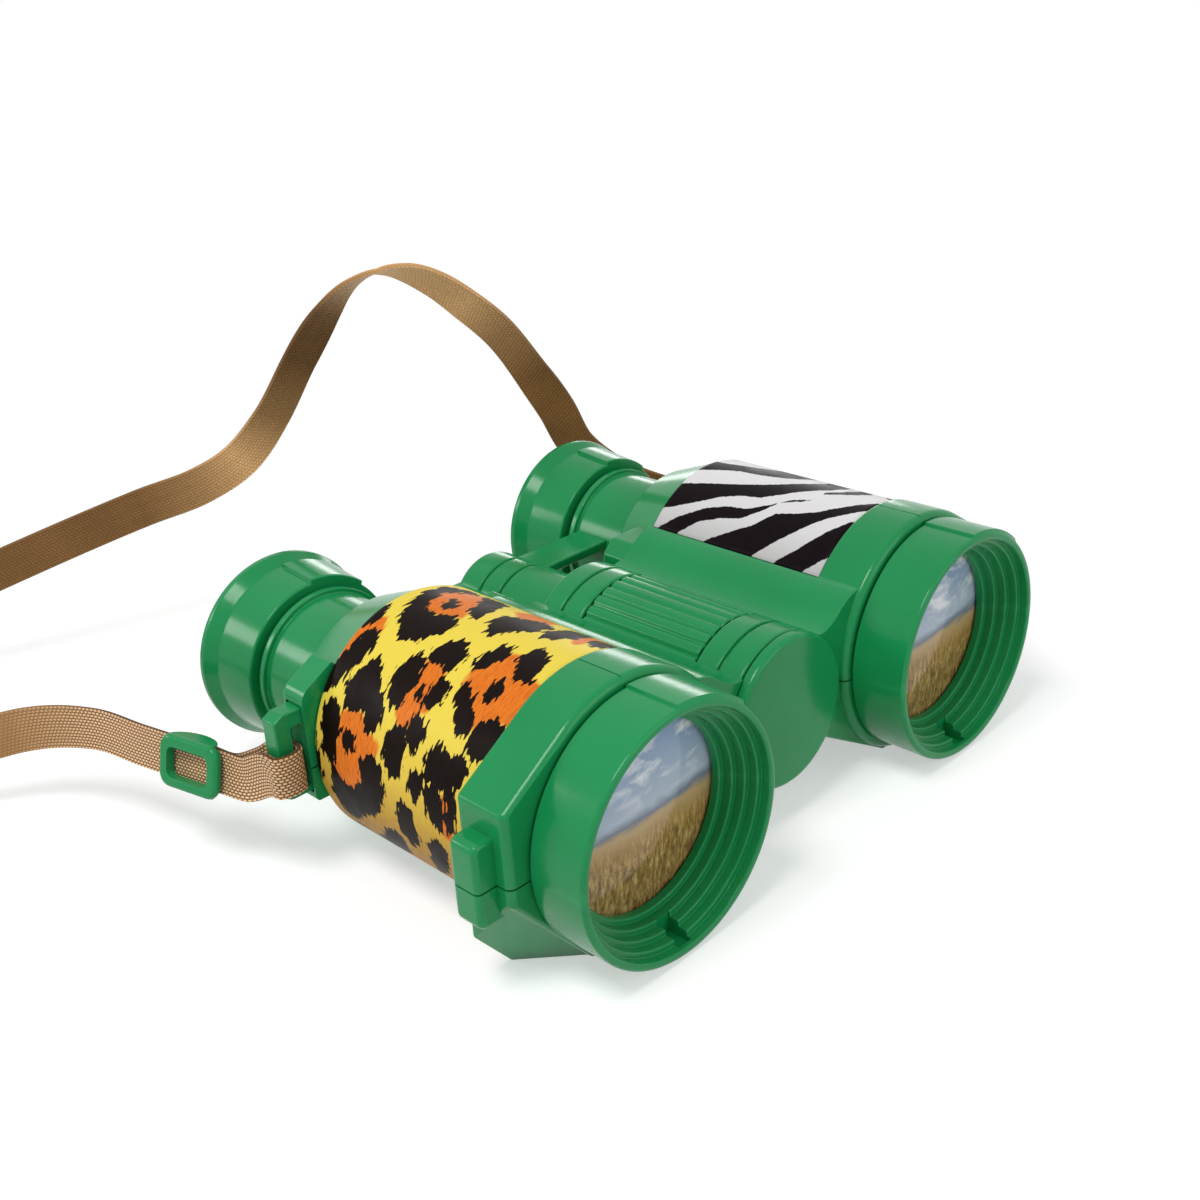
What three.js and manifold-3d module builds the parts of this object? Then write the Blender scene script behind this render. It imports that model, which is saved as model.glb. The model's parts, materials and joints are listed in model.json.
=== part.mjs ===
// Toy field binoculars on a webbing neck strap. Millimetres, +Z up, front lenses facing -Y.
import * as THREE from "three";
import { mergeVertices } from "three/addons/utils/BufferGeometryUtils.js";
import Module from "manifold-3d";

const wasm = await Module();
wasm.setup();

// Clearances
const FIT = 0.3; // between two pieces that seat on one another
const RUN = 0.35; // round a piece that turns or slides

// Lengths along the optical axis, in order from the front rim to the rear of the eyecups
const BEZEL_LENGTH = 9.6;
const COLLAR_LENGTH = 9;
const WRAP_LENGTH = 36.6;
const SHOULDER_LENGTH = 9.7;
const TUBE_SHOWN = 15.1;
const EYECUP_GAP = 1;
const EYECUP_LENGTH = 12;

// Barrels and their printed wraps
const BARREL_SPACING = 70; // between the two optical axes
const BODY_R = 20.6; // collar and barrel beside the wrap
const SHOULDER_R = 19.7; // front of the shoulder, just under the wrap's surface
const SHOULDER_END_R = 16.1;
const FOOT_DROP = 19.8; // of the flat underside below the axes
const FOOT_INNER_REACH = 7.5; // of that underside from below the axis towards the middle
const WRAP_R = 20.1;
const WRAP_THICK = 0.8;
const WRAP_INNER_EDGE = 140; // degrees about the barrel, 0 pointing outward and 90 up
const WRAP_OUTER_EDGE = -55;
const SHELL_WALL = 2.2;
const PARTING_DROP = 1.2; // of the upper and lower shells' joint below the axes

// Collar, seen along the axis: round inside, faceted outside
const COLLAR_EDGE = 1.2; // chamfer round its front
const COLLAR_BACK_EDGE = 0.5; // chamfer beside the wrap
const FLAT_REACH = 22.6; // of the outer flat from the axis
const FLAT_TOP = 9.9; // height of the flat's upper corner above the axis
const FLAT_LOW_FRONT = 3.9; // depth of its lower corner below the axis, at the front
const FLAT_LOW_BACK = 12.4;
const FOOT_REACH_FRONT = 8.3; // of the foot from below the axis outward, at the front
const FOOT_REACH_BACK = 16;
const BOSS_PROUD = 3.3; // block on the outer flat
const BOSS_LENGTH = 5;
const BOSS_TOP = 6;
const BOSS_LOW = 7;
const BOSS_EDGE = 1.1;

// Objective bezel and lens
const RIM_R = 19.3;
const RIM_INNER_R = 18;
const RIM_EDGE = 0.5;
const LENS_VIEW_R = 14.4;
const STEP_COUNT = 4;
const STEP_DEPTH = 1.6;
const SEAT_LIP = 1.4;
const SPIGOT_R = 17.6;
const SPIGOT_LENGTH = 6;
const LENS_R = 15.9;
const LENS_THICK = 2;
const LENS_DOME = 1;
const RETAINER_WIDTH = 1.6;
const RETAINER_LENGTH = 3;
const NOTCH_WIDTH = 2.6;
const NOTCH_DEPTH = 5;
const BEZEL_LAND = 0.25; // height of the raised land beside the top seam
const LAND_ARC = 42; // degrees
const LAND_ROOT = 1; // depth of the land inside the wall that carries it

// Eyepiece tube, eyecup and eye lens
const TUBE_R = 12.5;
const TUBE_BORE_R = 9.8;
const TUBE_HIDDEN = 14; // inside the barrel
const FLANGE_RISE = 0.8;
const FLANGE_LENGTH = 1.2;
const TUBE_SPIGOT_R = 11.4;
const TUBE_SPIGOT_LENGTH = 7.5;
const EYE_LENS_R = 10.3;
const EYE_LENS_THICK = 1.8;
const EYECUP_FRONT_R = 14.4;
const EYECUP_SLEEVE_R = 15.1;
const EYECUP_FLARE_R = 16.4;
const EYECUP_SLEEVE = 8.4; // length of the sleeve before the flare
const EYECUP_FLARE = 2.4;
const EYECUP_RIM = 0.9;
const EYECUP_LIP = 1.1;
const EYECUP_LIP_R = 9.4;
const EYECUP_LAND = 0.5; // height of its land, as on the bezel

// Centre column between the barrels
const COLUMN_R = 12.6;
const COLUMN_LEAD = 0.5; // its front face ahead of the collars
const CAP_LENGTH = 2;
const CAP_EDGE = 0.7;
const CAP_SPIGOT_R = 9;
const CAP_SPIGOT_LENGTH = 2.6;
const BAND_LENGTH = 4.4;
const GROOVE_DEPTH = 0.5;
const GROOVE_WIDTH = 0.5;
const BEARING_LENGTH = 3;
const WHEEL_LENGTH = 24;
const RIB_COUNT = 34;
const RIB_DEPTH = 0.4;
const RIB_SHARE = 0.62; // of the pitch that is rib
const SPINDLE_R = 3;
const HUB_R = 8.5;
const HUB_INSET = 3.6; // of the hub's front from the wheel
const HUB_DOME = 1.6;
const HUB_GROOVES = [5.2, 9.9]; // from the hub's rear end
const SPINDLE_IN_HUB = 17; // length of the spindle that the hub covers
const ARM_LENGTH = 7.8; // along the axis
const ARM_THICK = 1.8;
const ARM_TOP = 5; // above the axis
const WEB_SEAM = 44; // degrees about the column where the webs meet it
const BELLY_WALL = 2;

// Screws that hold the shells together, from below
const SCREW_R = 1;
const SCREW_HEAD_R = 1.9;
const SCREW_HEAD = 1.5;
const SCREW_TOP = 6; // of the shank above the axis
const SCREW_INSET = 5; // from the ends of the wraps

// Strap lugs at the rear of the barrels
const LUG_THICK = 3.2;
const LUG_TOP = 8.9;
const LUG_LOW = 5.3;
const LUG_SLOT = 2.1;
const LUG_BAR = 2.6;
const LUG_ROOT = 2.2;
const LUG_ARM = 2.4; // height of the upper rail
const LUG_FOOT = 1; // height of the lower rail
const LUG_BEVEL = [1.6, 0.9]; // of its outer top corner, across and down
const LUG_LEAD = 0.2; // of the lug ahead of the pad's middle
const PAD_LENGTH = 5; // along the axis, from the wrap
const PAD_REACH = 20.9; // of the pad's outer face from the axis
const PAD_TOP = 14.2;
const PAD_TOP_REACH = 14.9; // of its top corner, where the slope begins
const PAD_SLOPE = 29; // degrees, down from that corner to the outer face
const PAD_LOW = 7;
const PAD_CORNER = 2.6; // round between the slope and the outer face
const PAD_ROOT = 10; // of its hidden side from the axis
const INNER_PAD_REACH = 23.2;
const INNER_PAD_TOP = 11.3;
const INNER_PAD_BEVEL = 2.4;

// Strap and its slide buckle
const STRAP_WIDTH = 8;
const STRAP_THICK = 0.8;
const STRAP_STEP = 10; // longest straight piece
const STRAP_GATHER = 1.1; // how much narrower it is where the buckle draws it in
const BUCKLE_LENGTH = 12.3; // along the strap
const BUCKLE_BAR = 1.8;
const BUCKLE_THICK = 1.6;
const BUCKLE_CORNER = 2.2;
const BUCKLE_CORE = 1.2; // width of the middle bar
const BUCKLE_POST = 0.45; // height of the posts and rails past the strap's edges
const BUCKLE_CORE_THICK = 0.7;
const BUCKLE_PLACE = [-64.6, 27.06, 16.55];
const BUCKLE_HEADING = 102.4; // degrees about +Z of the strap that runs through it
const BUCKLE_TURN = 15; // degrees about the strap, facing upward

// Strap centreline: x, y, z, the turn of its width from upright in degrees, and the share of its gather
const STRAP_ROUTE = [
  [-63.45, 32.43, 14.9, -15, 1],
  [-62.38, 27.55, 14.9, -15, 1],
  [-61.1, 21.7, 14.9, -15, 1],
  [-58.7, 17, 17, -7, 1],
  [-57, 13.6, 19.3, 0, 1],
  [-57, 11, 19.4, 0, 1],
  [-57.25, 9.15, 19.4, 0, 1],
  [-58.5, 8.5, 19.4, 0, 1],
  [-60.3, 8.5, 19.4, 0, 1],
  [-61.6, 9.2, 19.4, 0, 1],
  [-61.7, 11, 19.4, 0, 1],
  [-61.7, 13.2, 18.5, 3, 1],
  [-62.4, 17, 16.65, 14, 1],
  [-63.4, 21.5, 16.55, 15, 1],
  [-64.6, 27.06, 16.55, 15, 1],
  [-67.17, 38.78, 16.55, 15, 1],
  [-69.75, 50.5, 16.55, 15, 1],
  [-76.2, 62.6, 14.8, 8, 0.4],
  [-90, 73, 10.8, 0, 0],
  [-106, 81, 5.6, 0, 0],
  [-123, 90, 4.2, 0, 0],
  [-137, 103, 4.2, 0, 0],
  [-142, 119, 4.2, 0, 0],
  [-134, 133, 4.2, 0, 0],
  [-118, 138, 4.6, 0, 0],
  [-100, 135, 6.4, 0, 0],
  [-82, 128.6, 11.8, 0, 0],
  [-65, 121.6, 17.6, 0, 0],
  [-46, 112.8, 23.6, 0, 0],
  [-27.5, 104.85, 28.6, 0, 0],
  [-17, 99.4, 31.3, 2, 0],
  [-9.3, 95.4, 35.5, 6, 0],
  [-2.9, 91.4, 43.6, 24, 0],
  [3, 87.4, 54.5, 34, 0],
  [7.8, 83.4, 63.1, 46, 0],
  [11.9, 80.9, 67.9, 60, 0],
  [17.2, 78.4, 70.3, 76, 0],
  [22.2, 75.4, 69.6, 58, 0],
  [27.4, 72.9, 66.5, 46, 0],
  [32.5, 70.4, 61.7, 36, 0],
  [38.5, 67.4, 54.8, 31, 0],
  [43.5, 63.9, 45.3, 22, 0],
  [47.1, 61.4, 37.7, 4, 0],
  [49.9, 58.4, 29.2, 0, 0],
  [54.4, 51, 22.6, 0, 0],
  [58.4, 41, 19.4, 0, 0],
  [60.7, 29, 18.6, 0, 0],
  [61.5, 18, 18.9, 0, 0],
  [61.7, 11, 19.5, 0, 0.5],
  [61.6, 9.2, 19.5, 0, 0.5],
  [60.3, 8.5, 19.5, 0, 0.5],
  [58.5, 8.5, 19.5, 0, 0.5],
  [57.25, 9.15, 19.5, 0, 0.5],
  [57, 11, 19.5, 0, 0.5],
  [57, 13.6, 19.5, 0, 0.5],
  [58.2, 20, 18.9, 0, 0],
  [58.8, 28, 18.7, 0, 0],
];

// Stations along the axis, from the front rim
const yCollar = BEZEL_LENGTH + FIT;
const yWrap = yCollar + COLLAR_LENGTH;
const yShoulder = yWrap + WRAP_LENGTH;
const yNeck = yShoulder + SHOULDER_LENGTH;
const yTube = yNeck + TUBE_SHOWN;
const yEyecup = yTube + EYECUP_GAP;
const yRear = yEyecup + EYECUP_LENGTH;
const yCap = yCollar - COLUMN_LEAD;
const yFrontSleeve = yCap + CAP_LENGTH + FIT;
const yWheel = yFrontSleeve + 2 * BAND_LENGTH + FIT;
const yRearSleeve = yWheel + WHEEL_LENGTH + FIT;
const yColumnEnd = yRearSleeve + 2 * BAND_LENGTH;
const ySeat = STEP_COUNT * STEP_DEPTH + SEAT_LIP;
const yLensBack = ySeat + FIT + LENS_THICK;
const ySpigot = BEZEL_LENGTH + SPIGOT_LENGTH;
const yTubeSpigot = yTube + TUBE_SPIGOT_LENGTH;
const yArmBack = yTube - FLANGE_LENGTH - FIT;
const yHubEnd = yArmBack - HUB_DOME / 2;
const yHub = yWheel + WHEEL_LENGTH + HUB_INSET;

// Radii and places that follow from the sizes above
const radians = THREE.MathUtils.degToRad;
const axisX = BARREL_SPACING / 2;
const recessR = WRAP_R - WRAP_THICK - FIT;
const cavityR = recessR - SHELL_WALL;
const channelR = COLUMN_R + RUN;
const seamX = channelR * Math.cos(radians(WEB_SEAM)); // where a web meets the column
const webEdgeX = axisX + BODY_R * Math.cos(radians(WRAP_INNER_EDGE)); // where it meets the barrel
const webEdgeZ = BODY_R * Math.sin(radians(WRAP_INNER_EDGE));
const seatR = LENS_R + FIT;
const eyeSeatR = EYE_LENS_R + FIT;
const screwX = (channelR + axisX - cavityR) / 2;
const bellyZ = -(channelR + BELLY_WALL);
const seamZ = channelR * Math.sin(radians(WEB_SEAM));
const footInnerX = axisX - FOOT_INNER_REACH;
const bellyX = seamX + ((-bellyZ - seamZ) * (footInnerX - seamX)) / (FOOT_DROP - seamZ);
const lugY = yShoulder + PAD_LENGTH / 2 - LUG_LEAD;
const span = 2 * (BARREL_SPACING + yRear); // larger than the whole part

const ROUND = 44; // facets of the large turned pieces
const HIDDEN_ROUND = 30; // facets of bores and of pieces inside them
const SMALL_ROUND = 16;
const DOME_STEPS = 4;
const ARC_STEPS = 30;

// Closed geometry to a solid, and back
function solid(geometry) {
  const bare = geometry.clone();
  bare.deleteAttribute("normal");
  bare.deleteAttribute("uv");
  const merged = mergeVertices(bare, 1e-4);
  const corners = merged.index.array;
  const kept = [];
  for (let i = 0; i < corners.length; i += 3) {
    const [a, b, c] = [corners[i], corners[i + 1], corners[i + 2]];
    if (a !== b && b !== c && c !== a) kept.push(a, b, c);
  }
  const vertProperties = Float32Array.from(merged.attributes.position.array);
  const triVerts = Uint32Array.from(kept);
  return new wasm.Manifold(new wasm.Mesh({ numProp: 3, vertProperties, triVerts }));
}

function surface(body) {
  const mesh = body.getMesh();
  const geometry = new THREE.BufferGeometry();
  geometry.setAttribute("position", new THREE.BufferAttribute(mesh.vertProperties, 3));
  geometry.setIndex(new THREE.BufferAttribute(mesh.triVerts, 1));
  geometry.computeVertexNormals();
  return geometry;
}

const join = (bodies) => bodies.reduce((whole, body) => whole.add(body));
const cut = (body, tools) => tools.reduce((rest, tool) => rest.subtract(tool), body);

// Turned piece about an axis along Y at a given x, from its section as [radius, y] points
function turned(section, x = 0, facets = ROUND) {
  const points = section.map(([r, y]) => new THREE.Vector2(r, y));
  if (section[0][0] > 0) points.push(points[0]);
  const outline = section.map(([r, y]) => new THREE.Vector2(r, y));
  if (THREE.ShapeUtils.isClockWise(outline)) points.reverse();
  return solid(new THREE.LatheGeometry(points, facets).translate(x, 0, 0));
}

function rod(radius, y0, y1, x = 0, facets = ROUND) {
  return turned([[0, y0], [radius, y0], [radius, y1], [0, y1]], x, facets);
}

function post(radius, x, y, z0, z1) {
  const pin = new THREE.CylinderGeometry(radius, radius, z1 - z0, SMALL_ROUND);
  return solid(pin.rotateX(Math.PI / 2).translate(x, y, (z0 + z1) / 2));
}

function block(x0, x1, y0, y1, z0, z1) {
  const size = [Math.abs(x1 - x0), y1 - y0, z1 - z0];
  const middle = [(x0 + x1) / 2, (y0 + y1) / 2, (z0 + z1) / 2];
  return solid(new THREE.BoxGeometry(...size).translate(...middle));
}

// Outline of [x, z] points carried along Y
function slab(outline, y0, y1, hole = null) {
  const points = outline.map(([x, z]) => new THREE.Vector2(x, z));
  if (THREE.ShapeUtils.isClockWise(points)) points.reverse();
  const shape = new THREE.Shape(points);
  if (hole) shape.holes.push(new THREE.Path(hole.map(([x, z]) => new THREE.Vector2(x, z))));
  const geometry = new THREE.ExtrudeGeometry(shape, { depth: y1 - y0, bevelEnabled: false });
  return solid(geometry.rotateX(Math.PI / 2).translate(0, y1, 0));
}

function arc(radius, from, to, steps) {
  return Array.from({ length: steps + 1 }, (_, i) => {
    const angle = from + ((to - from) * i) / steps;
    return [radius * Math.cos(angle), radius * Math.sin(angle)];
  });
}

// Outline points about one barrel, with the first coordinate counted outward
const aside = (side, outline) => outline.map(([u, z]) => [side * (axisX + u), z]);

function sector(r0, r1, from, to, steps) {
  return [...arc(r1, from, to, steps), ...arc(r0, to, from, steps)];
}

function roundedBox(width, height, corner) {
  const steps = 5;
  const centres = [[1, 1], [-1, 1], [-1, -1], [1, -1]];
  return centres.flatMap(([sx, sz], i) =>
    arc(corner, (i * Math.PI) / 2, ((i + 1) * Math.PI) / 2, steps).map(([x, z]) => [
      sx * (width / 2 - corner) + x,
      sz * (height / 2 - corner) + z,
    ]),
  );
}

// Closed skin over rings of equal point counts, each ring a list of THREE.Vector3
function skin(rings) {
  const count = rings[0].length;
  const corners = [];
  for (let k = 0; k + 1 < rings.length; k += 1) {
    for (let i = 0; i < count; i += 1) {
      const next = (i + 1) % count;
      const [a, b] = [k * count + i, k * count + next];
      corners.push(a, b, b + count, a, b + count, a + count);
    }
  }
  const last = (rings.length - 1) * count;
  const flat = flatRing(rings[0]);
  for (const [a, b, c] of THREE.ShapeUtils.triangulateShape(flat, [])) {
    corners.push(a, c, b, last + a, last + b, last + c);
  }
  const places = rings.flat();
  let volume = 0;
  for (let i = 0; i < corners.length; i += 3) {
    const [a, b, c] = [0, 1, 2].map((k) => places[corners[i + k]]);
    volume += a.dot(b.clone().cross(c));
  }
  if (volume < 0) corners.reverse();
  const geometry = new THREE.BufferGeometry().setFromPoints(places);
  return solid(geometry.setIndex(corners));
}

// Ring in its own plane, counter-clockwise as its points run
function flatRing(ring) {
  const origin = ring[0];
  const across = ring[1].clone().sub(origin).normalize();
  const middle = ring.reduce((sum, p) => sum.add(p), new THREE.Vector3()).divideScalar(ring.length);
  const normal = across.clone().cross(middle.sub(origin)).normalize();
  const up = normal.clone().cross(across);
  return ring.map((p) => {
    const from = p.clone().sub(origin);
    return new THREE.Vector2(from.dot(across), from.dot(up));
  });
}

// Housing
function collarRing(side, y, inset, front) {
  const radius = BODY_R - inset;
  const reach = FLAT_REACH - inset;
  const corner = Math.atan2(FLAT_TOP, reach);
  const start = corner + Math.acos(radius / Math.hypot(FLAT_TOP, reach));
  const outline = arc(radius, start, 1.5 * Math.PI, ARC_STEPS);
  outline.push([front ? FOOT_REACH_FRONT : FOOT_REACH_BACK, -radius]);
  outline.push([reach, -(front ? FLAT_LOW_FRONT : FLAT_LOW_BACK)]);
  outline.push([reach, FLAT_TOP]);
  return aside(side, outline).map(([x, z]) => new THREE.Vector3(x, y, z));
}

function collar(side) {
  return skin([
    collarRing(side, yCollar, COLLAR_EDGE, true),
    collarRing(side, yCollar + COLLAR_EDGE, 0, true),
    collarRing(side, yWrap - COLLAR_BACK_EDGE, 0, false),
    collarRing(side, yWrap, COLLAR_BACK_EDGE, false),
  ]);
}

function boss(side) {
  const reach = FLAT_REACH + BOSS_PROUD;
  const inside = FLAT_REACH - BOSS_PROUD / 2;
  const middle = (yCollar + yWrap) / 2 + BOSS_EDGE / 2;
  const outline = [
    [inside, BOSS_TOP],
    [reach - BOSS_EDGE, BOSS_TOP],
    [reach, BOSS_TOP - BOSS_EDGE],
    [reach, BOSS_EDGE - BOSS_LOW],
    [reach - BOSS_EDGE, -BOSS_LOW],
    [inside, -BOSS_LOW],
  ];
  return slab(aside(side, outline), middle - BOSS_LENGTH / 2, middle + BOSS_LENGTH / 2);
}

function pad(side) {
  const slope = radians(PAD_SLOPE);
  const slopeEnd = PAD_TOP - (PAD_REACH - PAD_TOP_REACH) * Math.tan(slope);
  const roundLow = slopeEnd - PAD_CORNER * Math.tan((Math.PI / 2 - slope) / 2);
  const corner = arc(PAD_CORNER, 0, Math.PI / 2 - slope, 4).map(([u, z]) => [
    u + PAD_REACH - PAD_CORNER,
    z + roundLow,
  ]);
  const rootTop = (PAD_ROOT * PAD_TOP) / PAD_TOP_REACH;
  const outline = [
    ...corner,
    [PAD_TOP_REACH, PAD_TOP],
    [PAD_ROOT, rootTop],
    [PAD_ROOT, -PAD_LOW],
    [PAD_REACH, -PAD_LOW],
  ];
  return slab(aside(side, outline), yShoulder, yShoulder + PAD_LENGTH);
}

function innerPad(side) {
  const inside = INNER_PAD_REACH - INNER_PAD_BEVEL;
  const upper = [
    [-PAD_ROOT, INNER_PAD_TOP],
    [-inside, INNER_PAD_TOP],
    [-INNER_PAD_REACH, INNER_PAD_TOP - INNER_PAD_BEVEL],
  ];
  const lower = upper.map(([u, z]) => [u, -z]).reverse();
  return slab(aside(side, [...upper, ...lower]), yShoulder, yShoulder + PAD_LENGTH);
}

function web(side) {
  const outline = [
    [axisX, 0],
    [webEdgeX, webEdgeZ],
    [seamX, seamZ],
    [seamX, -seamZ],
    [footInnerX, -FOOT_DROP],
    [axisX, -FOOT_DROP],
  ];
  return slab(outline.map(([x, z]) => [side * x, z]), yCollar + COLLAR_EDGE, yShoulder);
}

// Plate under the column, from the wheel back, that ties the two barrels
function belly() {
  return block(-bellyX, bellyX, yWheel, yShoulder, bellyZ, -PARTING_DROP);
}

function bores(side) {
  const x = side * axisX;
  return [
    rod(SPIGOT_R + FIT, yCollar - FIT, ySpigot + FIT, x, HIDDEN_ROUND),
    rod(cavityR, ySpigot, yShoulder, x, HIDDEN_ROUND),
    rod(TUBE_R + RUN, yShoulder - FIT, yNeck + FIT, x),
  ];
}

function wrapRecess(side) {
  const slack = FIT / WRAP_R;
  const [from, to] = [radians(WRAP_OUTER_EDGE) - slack, radians(WRAP_INNER_EDGE) + slack];
  const outline = sector(recessR, FLAT_REACH + BOSS_PROUD, from, to, ARC_STEPS);
  return slab(aside(side, outline), yWrap, yShoulder);
}

function lugPocket(side) {
  const [inside, outside] = [PAD_REACH - LUG_ROOT - FIT, PAD_REACH + LUG_SLOT];
  const thick = LUG_THICK / 2 + FIT;
  const ends = [side * (axisX + inside), side * (axisX + outside)].sort((a, b) => a - b);
  return block(...ends, lugY - thick, lugY + thick, -LUG_LOW - FIT, LUG_TOP + FIT);
}

const screwPlaces = [-1, 1].flatMap((side) => [
  { side, end: "front", x: side * screwX, y: yWrap + SCREW_INSET },
  { side, end: "rear", x: side * screwX, y: yShoulder - SCREW_INSET },
]);

function screwHole({ x, y }) {
  const head = bellyZ + SCREW_HEAD + FIT;
  const shankHole = post(SCREW_R + FIT, x, y, head - FIT, SCREW_TOP + FIT);
  return shankHole.add(post(SCREW_HEAD_R + FIT, x, y, -BODY_R, head));
}

function housingSide(side) {
  const front = yWrap - COLLAR_EDGE;
  const section = [
    [0, front],
    [BODY_R, front],
    [BODY_R, yShoulder],
    [SHOULDER_R, yShoulder],
    [SHOULDER_END_R, yNeck],
    [0, yNeck],
  ];
  const barrel = turned(section, side * axisX);
  const bulk = join([collar(side), barrel, boss(side), pad(side), innerPad(side), web(side)]);
  const hollows = [...bores(side), wrapRecess(side), lugPocket(side), rod(channelR, 0, yNeck)];
  return cut(bulk, [...hollows, ...screwPlaces.map(screwHole)]);
}

const above = block(-span, span, -span, span, -PARTING_DROP + FIT / 2, span);
const below = block(-span, span, -span, span, -FOOT_DROP, -PARTING_DROP - FIT / 2);

function lowerShell() {
  const hollows = [rod(channelR, 0, yNeck), ...bores(-1), ...bores(1), ...screwPlaces.map(screwHole)];
  const sides = [housingSide(-1), housingSide(1)];
  return join([...sides, cut(belly(), hollows)]).intersect(below);
}

function wrapPanel(side) {
  const [from, to] = [radians(WRAP_OUTER_EDGE), radians(WRAP_INNER_EDGE)];
  const outline = sector(WRAP_R - WRAP_THICK, WRAP_R, from, to, ARC_STEPS);
  return slab(aside(side, outline), yWrap + FIT, yShoulder - FIT);
}

function screw({ x, y }) {
  const head = post(SCREW_HEAD_R, x, y, bellyZ, bellyZ + SCREW_HEAD);
  return head.add(post(SCREW_R, x, y, bellyZ, SCREW_TOP));
}

// Objective end
function land(x, radius, rise, y0, y1) {
  const outline = sector(radius - LAND_ROOT, radius + rise, radians(90 - LAND_ARC), Math.PI / 2, 10);
  return slab(outline.map(([u, z]) => [x + u, z]), y0, y1);
}

function bezel(x) {
  const stepR = (RIM_INNER_R - LENS_VIEW_R) / STEP_COUNT;
  const section = [
    [RIM_INNER_R, 0],
    [RIM_R - RIM_EDGE, 0],
    [RIM_R, RIM_EDGE],
    [RIM_R, BEZEL_LENGTH],
    [SPIGOT_R, BEZEL_LENGTH],
    [SPIGOT_R, ySpigot],
    [seatR, ySpigot],
    [seatR, ySeat],
  ];
  for (let i = STEP_COUNT; i > 0; i -= 1) {
    const inner = RIM_INNER_R - i * stepR;
    section.push([inner, i === STEP_COUNT ? ySeat : (i + 1) * STEP_DEPTH], [inner, i * STEP_DEPTH]);
  }
  section.push([RIM_INNER_R, STEP_DEPTH]);
  const half = NOTCH_WIDTH / 2;
  const notch = block(x - half, x + half, STEP_DEPTH / 2, NOTCH_DEPTH, -RIM_INNER_R, 0);
  return turned(section, x).add(land(x, RIM_R, BEZEL_LAND, RIM_EDGE, BEZEL_LENGTH)).subtract(notch);
}

function lens(x) {
  const front = ySeat + FIT;
  const view = LENS_VIEW_R - FIT;
  const dome = Array.from({ length: DOME_STEPS + 1 }, (_, i) => {
    const r = (view * i) / DOME_STEPS;
    return [r, front - LENS_DOME * (1 - (r / view) ** 2)];
  });
  return turned([...dome, [LENS_R, front], [LENS_R, yLensBack], [0, yLensBack]], x);
}

function retainer(x) {
  const [inner, start] = [LENS_R - RETAINER_WIDTH, yLensBack + FIT];
  const end = start + RETAINER_LENGTH;
  return turned([[inner, start], [LENS_R, start], [LENS_R, end], [inner, end]], x, HIDDEN_ROUND);
}

// Eyepiece end
function eyepieceTube(x) {
  const front = yNeck - TUBE_HIDDEN;
  const seat = yTubeSpigot - EYE_LENS_THICK - FIT;
  return turned([
    [TUBE_BORE_R, front],
    [TUBE_R, front],
    [TUBE_R, yTube - FLANGE_LENGTH],
    [TUBE_R + FLANGE_RISE, yTube - FLANGE_LENGTH],
    [TUBE_R + FLANGE_RISE, yTube],
    [TUBE_SPIGOT_R, yTube],
    [TUBE_SPIGOT_R, yTubeSpigot],
    [eyeSeatR, yTubeSpigot],
    [eyeSeatR, seat],
    [TUBE_BORE_R, seat],
  ], x);
}

function eyeLens(x) {
  return rod(EYE_LENS_R, yTubeSpigot - EYE_LENS_THICK, yTubeSpigot, x, HIDDEN_ROUND);
}

function eyecup(x) {
  const bore = TUBE_SPIGOT_R + FIT;
  const lip = yTubeSpigot + FIT;
  const section = [
    [bore, yEyecup],
    [EYECUP_FRONT_R, yEyecup],
    [EYECUP_SLEEVE_R, yEyecup + EYECUP_SLEEVE],
    [EYECUP_FLARE_R, yEyecup + EYECUP_SLEEVE + EYECUP_FLARE],
    [EYECUP_FLARE_R, yRear],
    [EYECUP_FLARE_R - EYECUP_RIM, yRear],
    [EYECUP_LIP_R, lip + EYECUP_LIP],
    [EYECUP_LIP_R, lip],
    [bore, lip],
  ];
  const raised = land(x, EYECUP_FRONT_R, EYECUP_LAND, yEyecup, yEyecup + EYECUP_SLEEVE);
  return turned(section, x).add(raised);
}

// Centre column
function grooved(radius, y0, y1, grooves) {
  const edge = [[radius, y0]];
  for (const y of grooves) {
    edge.push([radius, y - GROOVE_WIDTH / 2], [radius - GROOVE_DEPTH, y], [radius, y + GROOVE_WIDTH / 2]);
  }
  return [...edge, [radius, y1]];
}

function frontCap() {
  const end = yCap + CAP_LENGTH;
  return turned([
    [0, yCap],
    [COLUMN_R - CAP_EDGE, yCap],
    [COLUMN_R, yCap + CAP_EDGE],
    [COLUMN_R, end],
    [CAP_SPIGOT_R, end],
    [CAP_SPIGOT_R, end + CAP_SPIGOT_LENGTH],
    [0, end + CAP_SPIGOT_LENGTH],
  ]);
}

function frontSleeve() {
  const end = yFrontSleeve + 2 * BAND_LENGTH;
  const [bore, bearing] = [CAP_SPIGOT_R + FIT, SPINDLE_R + RUN];
  return turned([
    ...grooved(COLUMN_R, yFrontSleeve, end, [yFrontSleeve + BAND_LENGTH]),
    [bearing, end],
    [bearing, end - BEARING_LENGTH],
    [bore, end - BEARING_LENGTH],
    [bore, yFrontSleeve],
  ]);
}

function rearSleeve() {
  const bore = HUB_R + RUN;
  const outside = grooved(COLUMN_R, yRearSleeve, yColumnEnd, [yRearSleeve + BAND_LENGTH]);
  return turned([...outside, [bore, yColumnEnd], [bore, yRearSleeve]]);
}

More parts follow.
